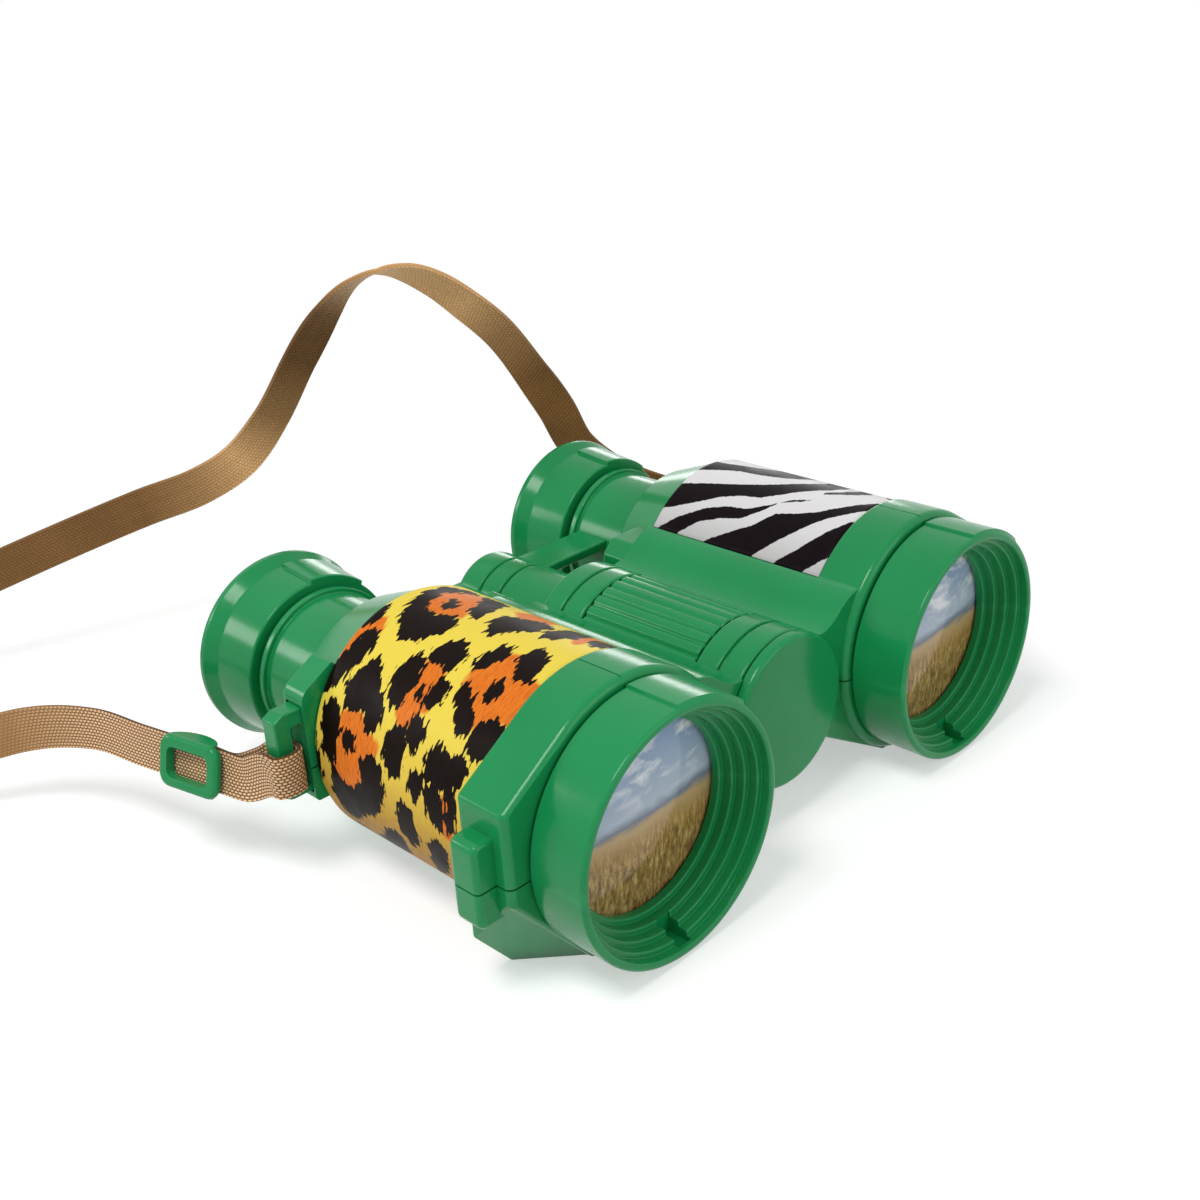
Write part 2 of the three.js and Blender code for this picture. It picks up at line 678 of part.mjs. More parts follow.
function focusWheel() {
  const pitch = (2 * Math.PI) / RIB_COUNT;
  const [half, low] = [(pitch * RIB_SHARE) / 2, COLUMN_R - RIB_DEPTH];
  const flank = (pitch * (1 - RIB_SHARE)) / 4;
  const outline = Array.from({ length: RIB_COUNT }, (_, i) => i * pitch).flatMap((middle) => [
    ...arc(COLUMN_R, middle - half, middle + half, 2),
    ...arc(low, middle + half + flank, middle - half - flank + pitch, 1),
  ]);
  const bore = arc(SPINDLE_R + FIT, 0, 2 * Math.PI, SMALL_ROUND).slice(0, -1);
  return slab(outline, yWheel, yWheel + WHEEL_LENGTH, bore);
}

function focusSpindle() {
  const front = yFrontSleeve + 2 * BAND_LENGTH - BEARING_LENGTH;
  return rod(SPINDLE_R, front, yHub + SPINDLE_IN_HUB, 0, SMALL_ROUND);
}

function eyepieceBridge() {
  const bore = SPINDLE_R + RUN;
  const boreEnd = yHub + SPINDLE_IN_HUB + HUB_INSET + FIT;
  const hub = turned([
    [bore, boreEnd],
    [bore, yHub],
    ...grooved(HUB_R, yHub, yHubEnd, HUB_GROOVES.map((back) => yHubEnd - back).reverse()),
    [HUB_R - HUB_DOME, yHubEnd + HUB_DOME],
    [0, yHubEnd + HUB_DOME],
    [0, boreEnd],
  ]);
  const arms = block(-axisX, axisX, yArmBack - ARM_LENGTH, yArmBack, ARM_TOP - ARM_THICK, ARM_TOP);
  const tubes = [-1, 1].map((side) => rod(TUBE_R + FIT, yNeck, yTube, side * axisX));
  return hub.add(cut(arms, [...tubes, rod(HUB_R / 2, yHub, yTube)]));
}

// Strap lug: a closed loop whose root sits in the pad
function strapLug(side) {
  const [inside, outside] = [PAD_REACH - LUG_ROOT, PAD_REACH + LUG_SLOT + LUG_BAR];
  const [bevelAcross, bevelDown] = LUG_BEVEL;
  const frame = [
    [inside, LUG_TOP],
    [outside - bevelAcross, LUG_TOP],
    [outside, LUG_TOP - bevelDown],
    [outside, -LUG_LOW],
    [inside, -LUG_LOW],
  ];
  const [slotTop, slotLow] = [LUG_TOP - LUG_ARM, LUG_FOOT - LUG_LOW];
  const slotOut = PAD_REACH + LUG_SLOT;
  const slot = [[PAD_REACH, slotTop], [slotOut, slotTop], [slotOut, slotLow], [PAD_REACH, slotLow]];
  return slab(aside(side, frame), lugY - LUG_THICK / 2, lugY + LUG_THICK / 2, aside(side, slot));
}

// Slide buckle: a frame before the strap and a middle bar behind it, joined past the strap's edges
function slideBuckle() {
  const clear = STRAP_THICK / 2 + RUN;
  const edge = (STRAP_WIDTH - STRAP_GATHER) / 2 + RUN;
  const top = edge + BUCKLE_POST;
  const outer = roundedBox(BUCKLE_LENGTH, 2 * top, BUCKLE_CORNER);
  const window = [BUCKLE_LENGTH - 2 * BUCKLE_BAR, 2 * (top - BUCKLE_BAR)];
  const frame = slab(outer, clear, clear + BUCKLE_THICK, roundedBox(...window, BUCKLE_CORNER / 2));
  const half = BUCKLE_CORE / 2;
  const back = -clear - BUCKLE_CORE_THICK;
  const bar = block(-half, half, back, -clear, -top, top);
  const posts = [[edge, top], [-top, -edge]].map(([z0, z1]) =>
    block(-half, half, back, clear + BUCKLE_THICK / 2, z0, z1),
  );
  return join([frame, bar, ...posts]);
}

// Flat webbing along its route, its width turned from upright by the route's angles
function neckStrap() {
  const places = STRAP_ROUTE.map(([x, y, z]) => new THREE.Vector3(x, y, z));
  const path = new THREE.CatmullRomCurve3(places, false, "centripetal");
  const last = places.length - 1;
  const stations = places.slice(1).flatMap((place, i) => {
    const steps = Math.ceil(place.distanceTo(places[i]) / STRAP_STEP);
    return Array.from({ length: steps }, (_, k) => i + k / steps);
  });
  const corners = [[1, 1], [-1, 1], [-1, -1], [1, -1]];
  const up = new THREE.Vector3(0, 0, 1);
  const rings = [...stations, last].map((station) => {
    const along = path.getTangent(station / last);
    const upright = up.clone().addScaledVector(along, -up.dot(along)).normalize();
    const level = along.clone().cross(upright);
    const before = Math.min(Math.floor(station), last - 1);
    const [from, to] = [STRAP_ROUTE[before], STRAP_ROUTE[before + 1]];
    const turn = radians(THREE.MathUtils.lerp(from[3], to[3], station - before));
    const gather = STRAP_GATHER * THREE.MathUtils.lerp(from[4], to[4], station - before);
    const wide = upright.multiplyScalar(Math.cos(turn)).addScaledVector(level, Math.sin(turn));
    const thin = along.clone().cross(wide);
    return corners.map(([w, h]) => path
      .getPoint(station / last)
      .addScaledVector(wide, (w * (STRAP_WIDTH - gather)) / 2)
      .addScaledVector(thin, (h * STRAP_THICK) / 2));
  });
  return skin(rings);
}

// Materials
function finish(color, roughness, metalness = 0) {
  return new THREE.MeshStandardMaterial({ color, roughness, metalness });
}

const plastic = finish(0x2a9557, 0.28);
const clear = finish(0xb9d2e2, 0.05);
const leopard = finish(0xf4cf45, 0.35);
const zebra = finish(0xf1f1ef, 0.35);
const steel = finish(0xb4b6b8, 0.35, 1);
const webbing = finish(0x8c6c42, 0.85);

const part = new THREE.Group();
const optics = new THREE.Group(); // axes at z = 0 and front rim at y = 0 inside it
optics.position.set(0, -yRear / 2, FOOT_DROP);
part.add(optics);

function node(name, body, material, group = optics) {
  const mesh = new THREE.Mesh(surface(body), material.clone());
  mesh.name = name;
  group.add(mesh);
  return mesh;
}

for (const [name, side] of [["left", -1], ["right", 1]]) {
  const x = side * axisX;
  node(`${name}_upper_shell`, housingSide(side).intersect(above), plastic);
  node(`${name}_wrap`, wrapPanel(side), side < 0 ? leopard : zebra);
  node(`${name}_bezel`, bezel(x), plastic);
  node(`${name}_objective_lens`, lens(x), clear);
  node(`${name}_lens_retainer`, retainer(x), plastic);
  node(`${name}_eyepiece_tube`, eyepieceTube(x), plastic);
  node(`${name}_eye_lens`, eyeLens(x), clear);
  node(`${name}_eyecup`, eyecup(x), plastic);
  node(`${name}_strap_lug`, strapLug(side), plastic);
}
node("lower_shell", lowerShell(), plastic);
node("front_cap", frontCap(), plastic);
node("front_sleeve", frontSleeve(), plastic);
node("focus_wheel", focusWheel(), plastic);
node("focus_spindle", focusSpindle(), steel);
node("rear_sleeve", rearSleeve(), plastic);
node("eyepiece_bridge", eyepieceBridge(), plastic);
for (const place of screwPlaces) {
  node(`${place.side < 0 ? "left" : "right"}_${place.end}_screw`, screw(place), steel);
}

const buckle = node("slide_buckle", slideBuckle(), plastic, part);
buckle.position.set(...BUCKLE_PLACE);
buckle.rotation.set(radians(BUCKLE_TURN), 0, radians(BUCKLE_HEADING), "ZYX");
node("neck_strap", neckStrap(), webbing, part);

export default part;
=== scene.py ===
"""Toy field binoculars on a webbing neck strap: the finished looks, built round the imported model."""
import json
import math

import bmesh
import bpy
import numpy as np
from mathutils import Matrix, Vector

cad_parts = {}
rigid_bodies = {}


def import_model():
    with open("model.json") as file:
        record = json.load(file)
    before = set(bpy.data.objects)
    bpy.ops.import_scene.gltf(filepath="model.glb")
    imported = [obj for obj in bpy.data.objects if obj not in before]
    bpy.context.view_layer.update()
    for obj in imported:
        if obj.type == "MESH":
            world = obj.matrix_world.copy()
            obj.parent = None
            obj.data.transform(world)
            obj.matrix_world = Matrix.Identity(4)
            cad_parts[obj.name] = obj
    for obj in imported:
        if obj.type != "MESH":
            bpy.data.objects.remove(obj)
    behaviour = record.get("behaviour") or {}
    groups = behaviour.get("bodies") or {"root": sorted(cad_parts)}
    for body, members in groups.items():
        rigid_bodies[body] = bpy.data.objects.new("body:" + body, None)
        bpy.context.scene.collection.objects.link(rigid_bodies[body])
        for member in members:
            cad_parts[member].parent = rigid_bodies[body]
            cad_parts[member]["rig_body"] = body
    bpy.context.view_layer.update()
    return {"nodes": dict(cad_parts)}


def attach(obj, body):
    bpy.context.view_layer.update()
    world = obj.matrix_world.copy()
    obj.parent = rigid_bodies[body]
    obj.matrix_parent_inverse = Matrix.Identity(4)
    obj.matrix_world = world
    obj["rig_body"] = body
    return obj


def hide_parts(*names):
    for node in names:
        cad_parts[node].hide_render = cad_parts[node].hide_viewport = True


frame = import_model()
scene = bpy.context.scene

MM = 0.001
WHITE = (1, 1, 1, 1)
PHOTO_SIZE = 1200  # pixels each way

# Camera of the photograph, in the model's frame
CAMERA_PLACE = (-0.15470, -0.15688, 0.13047)
CAMERA_AZIMUTH = -44.06
CAMERA_ELEVATION = 24.91
CAMERA_ROLL = -3.55
CAMERA_FOCAL = 1464.05  # pixels

# Sizes are in millimetres, with the front rim at y = 0 and the barrels' axes at z = 0
FIT = 0.3  # gap between pieces that stay together
RUN = 0.35  # gap between pieces that move
FAR = 200  # past every piece, for tools that cut right through
AXIS_X = 35
FOOT_DROP = 19.8
FOOT_INNER_X = AXIS_X - 7.5
BEZEL_LENGTH = 9.6
COLLAR_LENGTH = 9
WRAP_LENGTH = 36.6
SHOULDER_LENGTH = 9.7
TUBE_SHOWN = 15.1
EYECUP_GAP = 1
EYECUP_LENGTH = 12
Y_COLLAR = BEZEL_LENGTH + FIT
Y_WRAP = Y_COLLAR + COLLAR_LENGTH
Y_SHOULDER = Y_WRAP + WRAP_LENGTH
Y_NECK = Y_SHOULDER + SHOULDER_LENGTH
Y_TUBE = Y_NECK + TUBE_SHOWN
Y_EYECUP = Y_TUBE + EYECUP_GAP
Y_REAR = Y_EYECUP + EYECUP_LENGTH
TO_MODEL = Matrix.Translation((0, -Y_REAR / 2, FOOT_DROP))


# Camera
def add_camera():
    a, e, roll = (math.radians(v) for v in (CAMERA_AZIMUTH, CAMERA_ELEVATION, CAMERA_ROLL))
    back = Vector((math.sin(a) * math.cos(e), -math.cos(a) * math.cos(e), math.sin(e)))
    right = Vector((math.cos(a), math.sin(a), 0))
    up = back.cross(right)
    level = math.cos(roll) * right + math.sin(roll) * up
    upright = math.cos(roll) * up - math.sin(roll) * right
    data = bpy.data.cameras.new("photo_camera")
    data.lens = CAMERA_FOCAL / PHOTO_SIZE * data.sensor_width
    data.clip_start = 0.01
    camera = bpy.data.objects.new("photo_camera", data)
    turn = Matrix((level, upright, back)).transposed().to_4x4()
    camera.matrix_world = Matrix.Translation(CAMERA_PLACE) @ turn
    scene.collection.objects.link(camera)
    scene.camera = camera


# Shader helpers
def fill(tree, node, inputs):
    """Sets a node's inputs to values, or links them to sockets."""
    for key, value in inputs.items():
        if isinstance(value, bpy.types.NodeSocket):
            tree.links.new(value, node.inputs[key])
        else:
            node.inputs[key].default_value = value


def put(tree, kind, inputs=None, **settings):
    """New shader node with its settings and inputs."""
    made = tree.nodes.new("ShaderNode" + kind)
    for key, value in settings.items():
        setattr(made, key, value)
    fill(tree, made, inputs or {})
    return made


def blank(name):
    """New material with a Principled shader; returns the material, its tree and the shader."""
    material = bpy.data.materials.new(name)
    material.use_nodes = True
    tree = material.node_tree
    return material, tree, tree.nodes["Principled BSDF"]


def ramp(tree, factor, stops):
    """Colours at places from 0 to 1, passing evenly from one to the next."""
    made = put(tree, "ValToRGB", {"Fac": factor})
    elements = made.color_ramp.elements
    while len(elements) < len(stops):
        elements.new(1)
    for element, (place, colour) in zip(elements, stops):
        element.position = place
        element.color = (*colour, 1)
    return made.outputs["Color"]


def noise(tree, vector, scale, detail=3.0, roughness=0.5, distortion=0.0):
    inputs = {"Vector": vector, "Scale": scale, "Detail": detail, "Roughness": roughness}
    return put(tree, "TexNoise", inputs | {"Distortion": distortion}).outputs["Fac"]


def maths(tree, operation, a, b=0.0):
    return put(tree, "Math", {0: a, 1: b}, operation=operation).outputs[0]


def between(tree, value, start, end, low=0.0, high=1.0, **settings):
    """Value carried from the range start to end onto the range low to high, and held inside it."""
    inputs = {"Value": value, "From Min": start, "From Max": end, "To Min": low, "To Max": high}
    return put(tree, "MapRange", inputs, **settings).outputs["Result"]


def spread(tree, value, low, high):
    """A noise value of about 0.3 to 0.7 carried to the range low to high."""
    return between(tree, value, 0.3, 0.7, low, high)


def mix(tree, factor, a, b, mode="MIX"):
    a, b = (c if isinstance(c, bpy.types.NodeSocket) else (*c, 1) for c in (a, b))
    return put(tree, "Mix", {0: factor, 6: a, 7: b}, data_type="RGBA", blend_type=mode).outputs[2]


def bumped(tree, shader, height, strength, distance):
    made = put(tree, "Bump", {"Height": height, "Strength": strength, "Distance": distance * MM})
    fill(tree, shader, {"Normal": made.outputs["Normal"]})


def attribute(tree, name):
    return put(tree, "Attribute", attribute_name=name).outputs["Fac"]


def object_place(tree):
    return put(tree, "TexCoord").outputs["Object"]


def stretched(tree, place, scale):
    return put(tree, "Mapping", {"Vector": place, "Scale": scale}).outputs[0]


def sheet_place(tree, across, along):
    return put(tree, "CombineXYZ", {"X": across, "Y": along}).outputs[0]


# Materials
def plastic_material():
    """Glossy moulded plastic: slight colour drift, flow marks, orange peel and handling scuffs."""
    material, tree, shader = blank("green_plastic")
    place = object_place(tree)
    drift = noise(tree, place, 38, 3)
    flow = noise(tree, stretched(tree, place, (1, 0.25, 1)), 160, 4, 0.6, 0.8)
    base = ramp(tree, drift, [(0.3, (0.006, 0.245, 0.068)), (0.7, (0.010, 0.290, 0.086))])
    flowing = mix(tree, spread(tree, flow, 0.0, 0.14), base, (0.018, 0.330, 0.112))
    # Painted highlight: convex edges, found by pointiness, are tinted a paler green as if catching light.
    painted_edge_highlight = between(tree, put(tree, "NewGeometry").outputs["Pointiness"], 0.52, 0.62, 0.0, 0.35)
    scuffs = noise(tree, stretched(tree, place, (1, 9, 3)), 240, 5, 0.7)
    fill(tree, shader, {
        "Base Color": mix(tree, painted_edge_highlight, flowing, (0.040, 0.380, 0.150)),
        "Roughness": spread(tree, scuffs, 0.13, 0.22),
        "Specular IOR Level": 0.22,
    })
    bumped(tree, shader, noise(tree, place, 420, 2), 0.07, 0.12)
    return material


def print_gloss(tree, shader, colour):
    """Laminated print: a glossy film with fine unevenness."""
    place = object_place(tree)
    fill(tree, shader, {
        "Base Color": colour,
        "Roughness": spread(tree, noise(tree, place, 260, 3), 0.34, 0.48),
        "Specular IOR Level": 0.05,
    })
    bumped(tree, shader, noise(tree, place, 700, 2), 0.08, 0.1)


def fur_jag(tree, across, along, scale, reach):
    """Ragged shift of a marking's edge, in millimetres, drawn out round the barrel like short fur."""
    spot = sheet_place(tree, maths(tree, "MULTIPLY", across, 0.3), along)
    coarse = maths(tree, "SUBTRACT", noise(tree, spot, scale, 2, 0.5), 0.5)
    return maths(tree, "MULTIPLY", coarse, reach)


def marked(tree, distance, soft):
    """1 inside a marking and 0 outside, over an edge that is soft to both sides by some millimetres."""
    return between(tree, distance, -soft, soft, 1.0, 0.0)


SPOT_GROWTH = 0.4  # how far the leopard spots spread past their outlines
LEOPARD_TONE_AND_SHADE = (6, 34)  # across the leopard sheet, from its darkest ground to its brightest: partly the print's own tone, partly painted shade on its low outward side


def leopard_material():
    material, tree, shader = blank("leopard_print")
    across, along = attribute(tree, "across"), attribute(tree, "along")
    jag = fur_jag(tree, across, along, 1.5, 3.4)
    spot = maths(tree, "SUBTRACT", maths(tree, "ADD", attribute(tree, "spot"), jag), SPOT_GROWTH)
    less_jag = maths(tree, "MULTIPLY", jag, 0.5)
    warm = maths(tree, "SUBTRACT", maths(tree, "ADD", attribute(tree, "warm"), less_jag), SPOT_GROWTH)
    hair = noise(tree, sheet_place(tree, maths(tree, "MULTIPLY", across, 0.25), along), 2.6, 4, 0.7)
    # Ground darkens and browns towards the sheet's low outward side: partly the print's own tone, partly
    # painted shade.
    ground = ramp(tree, between(tree, across, *LEOPARD_TONE_AND_SHADE), [
        (0.0, (0.24, 0.085, 0.012)), (0.35, (0.50, 0.225, 0.026)),
        (0.7, (0.84, 0.58, 0.070)), (1.0, (0.88, 0.68, 0.075)),
    ])
    paler = mix(tree, spread(tree, hair, 0.0, 0.3), ground, (0.92, 0.76, 0.16))
    rust = ramp(tree, hair, [(0.3, (0.66, 0.13, 0.012)), (0.7, (0.90, 0.26, 0.030))])
    coat = mix(tree, marked(tree, warm, 0.35), paler, rust)
    ink = ramp(tree, hair, [(0.3, (0.003, 0.0015, 0.001)), (0.75, (0.012, 0.005, 0.003))])
    print_gloss(tree, shader, mix(tree, marked(tree, spot, 0.07), coat, ink))
    return material


ZEBRA_TOP = 54  # across the zebra sheet, where its ground is whitest and its painted shade lightest
ZEBRA_SHADE_FADE = 20  # from there to where painted shade greys its ground most


def zebra_material():
    material, tree, shader = blank("zebra_print")
    across, along = attribute(tree, "across"), attribute(tree, "along")
    stripe = maths(tree, "ADD", attribute(tree, "spot"), fur_jag(tree, across, along, 1.6, 0.5))
    hair = noise(tree, sheet_place(tree, across, maths(tree, "MULTIPLY", along, 0.3)), 1.8, 4, 0.7)
    away = maths(tree, "ABSOLUTE", maths(tree, "SUBTRACT", across, ZEBRA_TOP))
    # Painted shade: the white ground greys away from the sheet's top, towards both its ends.
    white = ramp(tree, maths(tree, "DIVIDE", away, ZEBRA_SHADE_FADE), [
        (0.0, (0.86, 0.85, 0.85)), (0.5, (0.74, 0.72, 0.73)), (1.0, (0.44, 0.42, 0.43)),
    ])
    ground = mix(tree, spread(tree, hair, 0.0, 0.12), white, (0.55, 0.53, 0.54))
    ink = ramp(tree, hair, [(0.3, (0.003, 0.001, 0.002)), (0.75, (0.009, 0.004, 0.006))])
    print_gloss(tree, shader, mix(tree, marked(tree, stripe, 0.06), ground, ink))
    return material


def picture_lens_material():
    """Clear moulded lens over a printed disc: a plain hazy sky above a dry plain, with no figures on it."""
    material, tree, shader = blank("picture_lens")
    place = object_place(tree)
    level = put(tree, "SeparateXYZ", {"Vector": place}).outputs["Z"]
    raised = maths(tree, "SUBTRACT", level, (FOOT_DROP - LENS_VIEW_R) * MM)
    height = maths(tree, "DIVIDE", raised, 2 * LENS_VIEW_R * MM)
    haze = noise(tree, stretched(tree, place, (1, 1, 2.6)), 150, 5, 0.6, 0.4)
    swell = maths(tree, "ADD", height, maths(tree, "MULTIPLY", maths(tree, "SUBTRACT", haze, 0.5), 0.10))
    view = ramp(tree, swell, [
        (0.02, (0.120, 0.070, 0.030)), (0.20, (0.300, 0.185, 0.060)), (0.36, (0.470, 0.270, 0.080)),
        (0.47, (0.560, 0.390, 0.190)), (0.51, (0.200, 0.230, 0.300)), (0.56, (0.480, 0.560, 0.680)),
        (0.78, (0.330, 0.430, 0.620)), (1.0, (0.180, 0.290, 0.520)),
    ])
    blades = noise(tree, stretched(tree, place, (5, 5, 1.4)), 330, 6, 0.75)
    straw = ramp(tree, blades, [
        (0.35, (0.070, 0.045, 0.022)), (0.50, (0.380, 0.215, 0.060)), (0.66, (0.780, 0.580, 0.230)),
    ])
    below = between(tree, swell, 0.46, 0.30)
    grass = mix(tree, maths(tree, "MULTIPLY", below, 0.85), view, straw)
    above = between(tree, swell, 0.54, 0.66)
    clouds = between(tree, haze, 0.5, 0.68)
    fill(tree, shader, {
        "Base Color": mix(tree, maths(tree, "MULTIPLY", above, clouds), grass, (0.86, 0.88, 0.92)),
        "Roughness": spread(tree, haze, 0.3, 0.42),
        "Specular IOR Level": 0.1, "Coat Weight": 0.5, "Coat Roughness": 0.02, "Coat IOR": 1.5,
    })
    return material


def eye_lens_material():
    """Clear moulded plastic with faint flow lines."""
    material, tree, shader = blank("clear_plastic")
    flow = noise(tree, object_place(tree), 190, 4, 0.6, 1.0)
    fill(tree, shader, {
        "Base Color": ramp(tree, flow, [(0.3, (0.72, 0.82, 0.86)), (0.7, (0.86, 0.92, 0.94))]),
        "Roughness": spread(tree, flow, 0.02, 0.07), "Transmission Weight": 0.98, "IOR": 1.49,
    })
    bumped(tree, shader, flow, 0.05, 0.1)
    return material


def steel_material():
    material, tree, shader = blank("plated_steel")
    turning = noise(tree, stretched(tree, object_place(tree), (1, 1, 14)), 900, 4, 0.65)
    fill(tree, shader, {
        "Base Color": ramp(tree, turning, [(0.3, (0.40, 0.40, 0.41)), (0.7, (0.66, 0.66, 0.67))]),
        "Roughness": spread(tree, turning, 0.22, 0.42), "Metallic": 1,
    })
    bumped(tree, shader, turning, 0.2, 0.05)
    return material


YARN_WIDTH = 0.57
YARN_FLOAT = 0.72  # length of one yarn's show between two crossings
WEAVE_CHANGE = (70, 90)  # along the strap, where the brick weave passes into twill


def webbing_material():
    """Flat woven webbing: short yarn floats, set like bricks near the buckle and in a twill beyond it."""
    material, tree, shader = blank("tan_webbing")
    across, along = attribute(tree, "across"), attribute(tree, "along")
    rows = maths(tree, "MULTIPLY", across, 1 / YARN_WIDTH)
    shift = between(tree, along, *WEAVE_CHANGE, 0.5, 0.34)
    offset = maths(tree, "MULTIPLY", maths(tree, "FLOOR", rows), shift)
    phase = maths(tree, "ADD", maths(tree, "MULTIPLY", along, 1 / YARN_FLOAT), offset)
    crown = maths(tree, "SINE", maths(tree, "MULTIPLY", maths(tree, "FRACT", rows), math.pi))
    over = maths(tree, "SINE", maths(tree, "MULTIPLY", maths(tree, "FRACT", phase), math.pi))
    yarn = maths(tree, "MULTIPLY", maths(tree, "POWER", crown, 0.8), maths(tree, "POWER", over, 0.65))
    fibre = noise(tree, sheet_place(tree, across, along), 6, 4, 0.7)
    fade = noise(tree, sheet_place(tree, maths(tree, "MULTIPLY", across, 0.4), along), 0.09, 3)
    tone = maths(tree, "ADD", maths(tree, "MULTIPLY", yarn, 0.85), maths(tree, "MULTIPLY", fibre, 0.15))
    # Painted shade and highlight of the weave: near black in the gaps between yarns, pale on their crowns.
    cloth_with_weave_shade = ramp(tree, tone, [
        (0.12, (0.030, 0.011, 0.004)), (0.40, (0.380, 0.180, 0.075)), (0.66, (0.880, 0.570, 0.320)),
        (1.0, (0.960, 0.760, 0.520)),
    ])
    even = mix(tree, spread(tree, fade, 0.0, 1.0), (0.150, 0.068, 0.019), (0.225, 0.105, 0.031))
    # Painted sheen: the webbing is mixed towards a pale gold where the strap's stored sheen value is high.
    smooth = mix(tree, attribute(tree, "painted_sheen"), even, (0.940, 0.550, 0.250))
    # Painted shade: the twill darkens in the grooves between its yarns.
    ribs = ramp(tree, tone, [(0.1, (0.68, 0.64, 0.60)), (0.7, (1, 1, 1))])
    twill = mix(tree, 1.0, smooth, ribs, "MULTIPLY")
    fill(tree, shader, {
        "Base Color": mix(tree, between(tree, along, *WEAVE_CHANGE), cloth_with_weave_shade, twill),
        "Roughness": spread(tree, fibre, 0.42, 0.56),
        "Specular IOR Level": 0.25, "Specular Tint": (0.95, 0.64, 0.36, 1),
        "Sheen Weight": 0.03, "Sheen Roughness": 0.5,
    })
    bumped(tree, shader, yarn, 0.5, 0.16)
    return material


# Mesh helpers; all coordinates in millimetres until a piece is set in the model's frame
def body_from(name, verts, faces):
    mesh = bpy.data.meshes.new(name)
    mesh.from_pydata([tuple(v) for v in verts], [], faces)
    work = bmesh.new()
    work.from_mesh(mesh)
    bmesh.ops.recalc_face_normals(work, faces=work.faces)
    work.to_mesh(mesh)
    work.free()
    obj = bpy.data.objects.new(name, mesh)
    scene.collection.objects.link(obj)
    return obj


def fillet(points, radius, steps=3, on_axis=False):
    """Closed outline with its corners rounded by one radius, or by one for each point."""
    places = [Vector(p) for p in points]
    radii = list(radius) if hasattr(radius, "__len__") else [radius] * len(places)
    rounded = []
    for i, place in enumerate(places):
        before, after = places[i - 1] - place, places[(i + 1) % len(places)] - place
        if radii[i] == 0 or (on_axis and place.x == 0):
            rounded.append(tuple(place))
            continue
        half = before.angle(after) / 2
        cut = min(radii[i] / math.tan(half), 0.45 * before.length, 0.45 * after.length)
        before.normalize()
        after.normalize()
        centre = place + (before + after).normalized() * (cut / math.cos(half))
        first, last = place + before * cut - centre, place + after * cut - centre
        sweep = math.pi - 2 * half
        for k in range(steps + 1):
            a, b = math.sin(sweep * (1 - k / steps)), math.sin(sweep * k / steps)
            rounded.append(tuple(centre + (first * a + last * b) / math.sin(sweep)))
    return rounded


def lathe(name, section, x=0.0, edge=0.25, angles=None, lift=None):
    """Closed turned body about an axis along Y, from [radius, y] points with rounded corners."""
    turns = np.radians(np.linspace(0, 360, 144, endpoint=False) if angles is None else angles)
    outline = fillet(section, edge, on_axis=True) if np.any(edge) else section
    verts, rings = [], []
    for r, y in outline:
        start = len(verts)
        if r < 1e-6:
            verts.append((x, y, 0))
        else:
            for turn in turns:
                reach = r + (lift(turn, r, y) if lift else 0)
                verts.append((x + reach * math.cos(turn), y, reach * math.sin(turn)))
        rings.append(range(start, len(verts)))
    pairs = list(zip(rings, rings[1:]))
    if section[0][0] > 0:
        pairs.append((rings[-1], rings[0]))
    faces = []
    for low, high in pairs:
        for i in range(len(turns)):
            j = (i + 1) % len(turns)
            corners = [low[i % len(low)], low[j % len(low)], high[j % len(high)], high[i % len(high)]]
            faces.append(list(dict.fromkeys(corners)))
    return body_from(name, verts, [f for f in faces if len(f) > 2])


def rod(radius, y0, y1, x=0.0):
    return lathe("tool", [(0, y0), (radius, y0), (radius, y1), (0, y1)], x, edge=0)


def loft(name, rings):
    """Closed skin over rings of equal point counts."""
    count = len(rings[0])
    faces = []
    for k in range(len(rings) - 1):
        for i in range(count):
            j = (i + 1) % count
            faces.append((k * count + i, k * count + j, (k + 1) * count + j, (k + 1) * count + i))
    faces.append(tuple(range(count)))
    faces.append(tuple(range((len(rings) - 1) * count, len(rings) * count)))
    return body_from(name, [p for ring in rings for p in ring], faces)


def inset(outline, depth):
    """Outline moved inward by a depth."""
    flat = np.array(outline, float)
    after, before = np.roll(flat, -1, 0) - flat, flat - np.roll(flat, 1, 0)
    area = np.sum(flat[:, 0] * np.roll(flat[:, 1], -1) - flat[:, 1] * np.roll(flat[:, 0], -1))
    inward = math.copysign(1, area)
    normals = []
    for step in (before, after):
        unit = step / np.linalg.norm(step, axis=1)[:, None]
        normals.append(inward * np.stack([-unit[:, 1], unit[:, 0]], 1))
    bisector = normals[0] + normals[1]
    bisector /= np.linalg.norm(bisector, axis=1)[:, None]
    stretch = 1 / np.clip(np.sum(bisector * normals[0], 1), 0.5, 1)
    return [tuple(p) for p in flat + bisector * (depth * stretch)[:, None]]


def round_over(edge, steps):
    """Inset and setback of each ring of a rounded end, from its flat to its side."""
    turns = [math.pi / 2 * k / steps for k in range(steps + 1)]
    return [(edge * (1 - math.sin(t)), edge * (1 - math.cos(t))) for t in turns]


def prism(name, outline, y0, y1, edge=0.0, steps=3):
    """Outline of [x, z] points carried along Y, with both ends rounded over."""
    if edge == 0:
        levels = [(outline, y0), (outline, y1)]
    else:
        ends = [(inset(outline, depth), setback) for depth, setback in round_over(edge, steps)]
        levels = [(ring, y0 + setback) for ring, setback in ends]
        levels += [(ring, y1 - setback) for ring, setback in reversed(ends)]
    return loft(name, [[(x, y, z) for x, z in ring] for ring, y in levels])


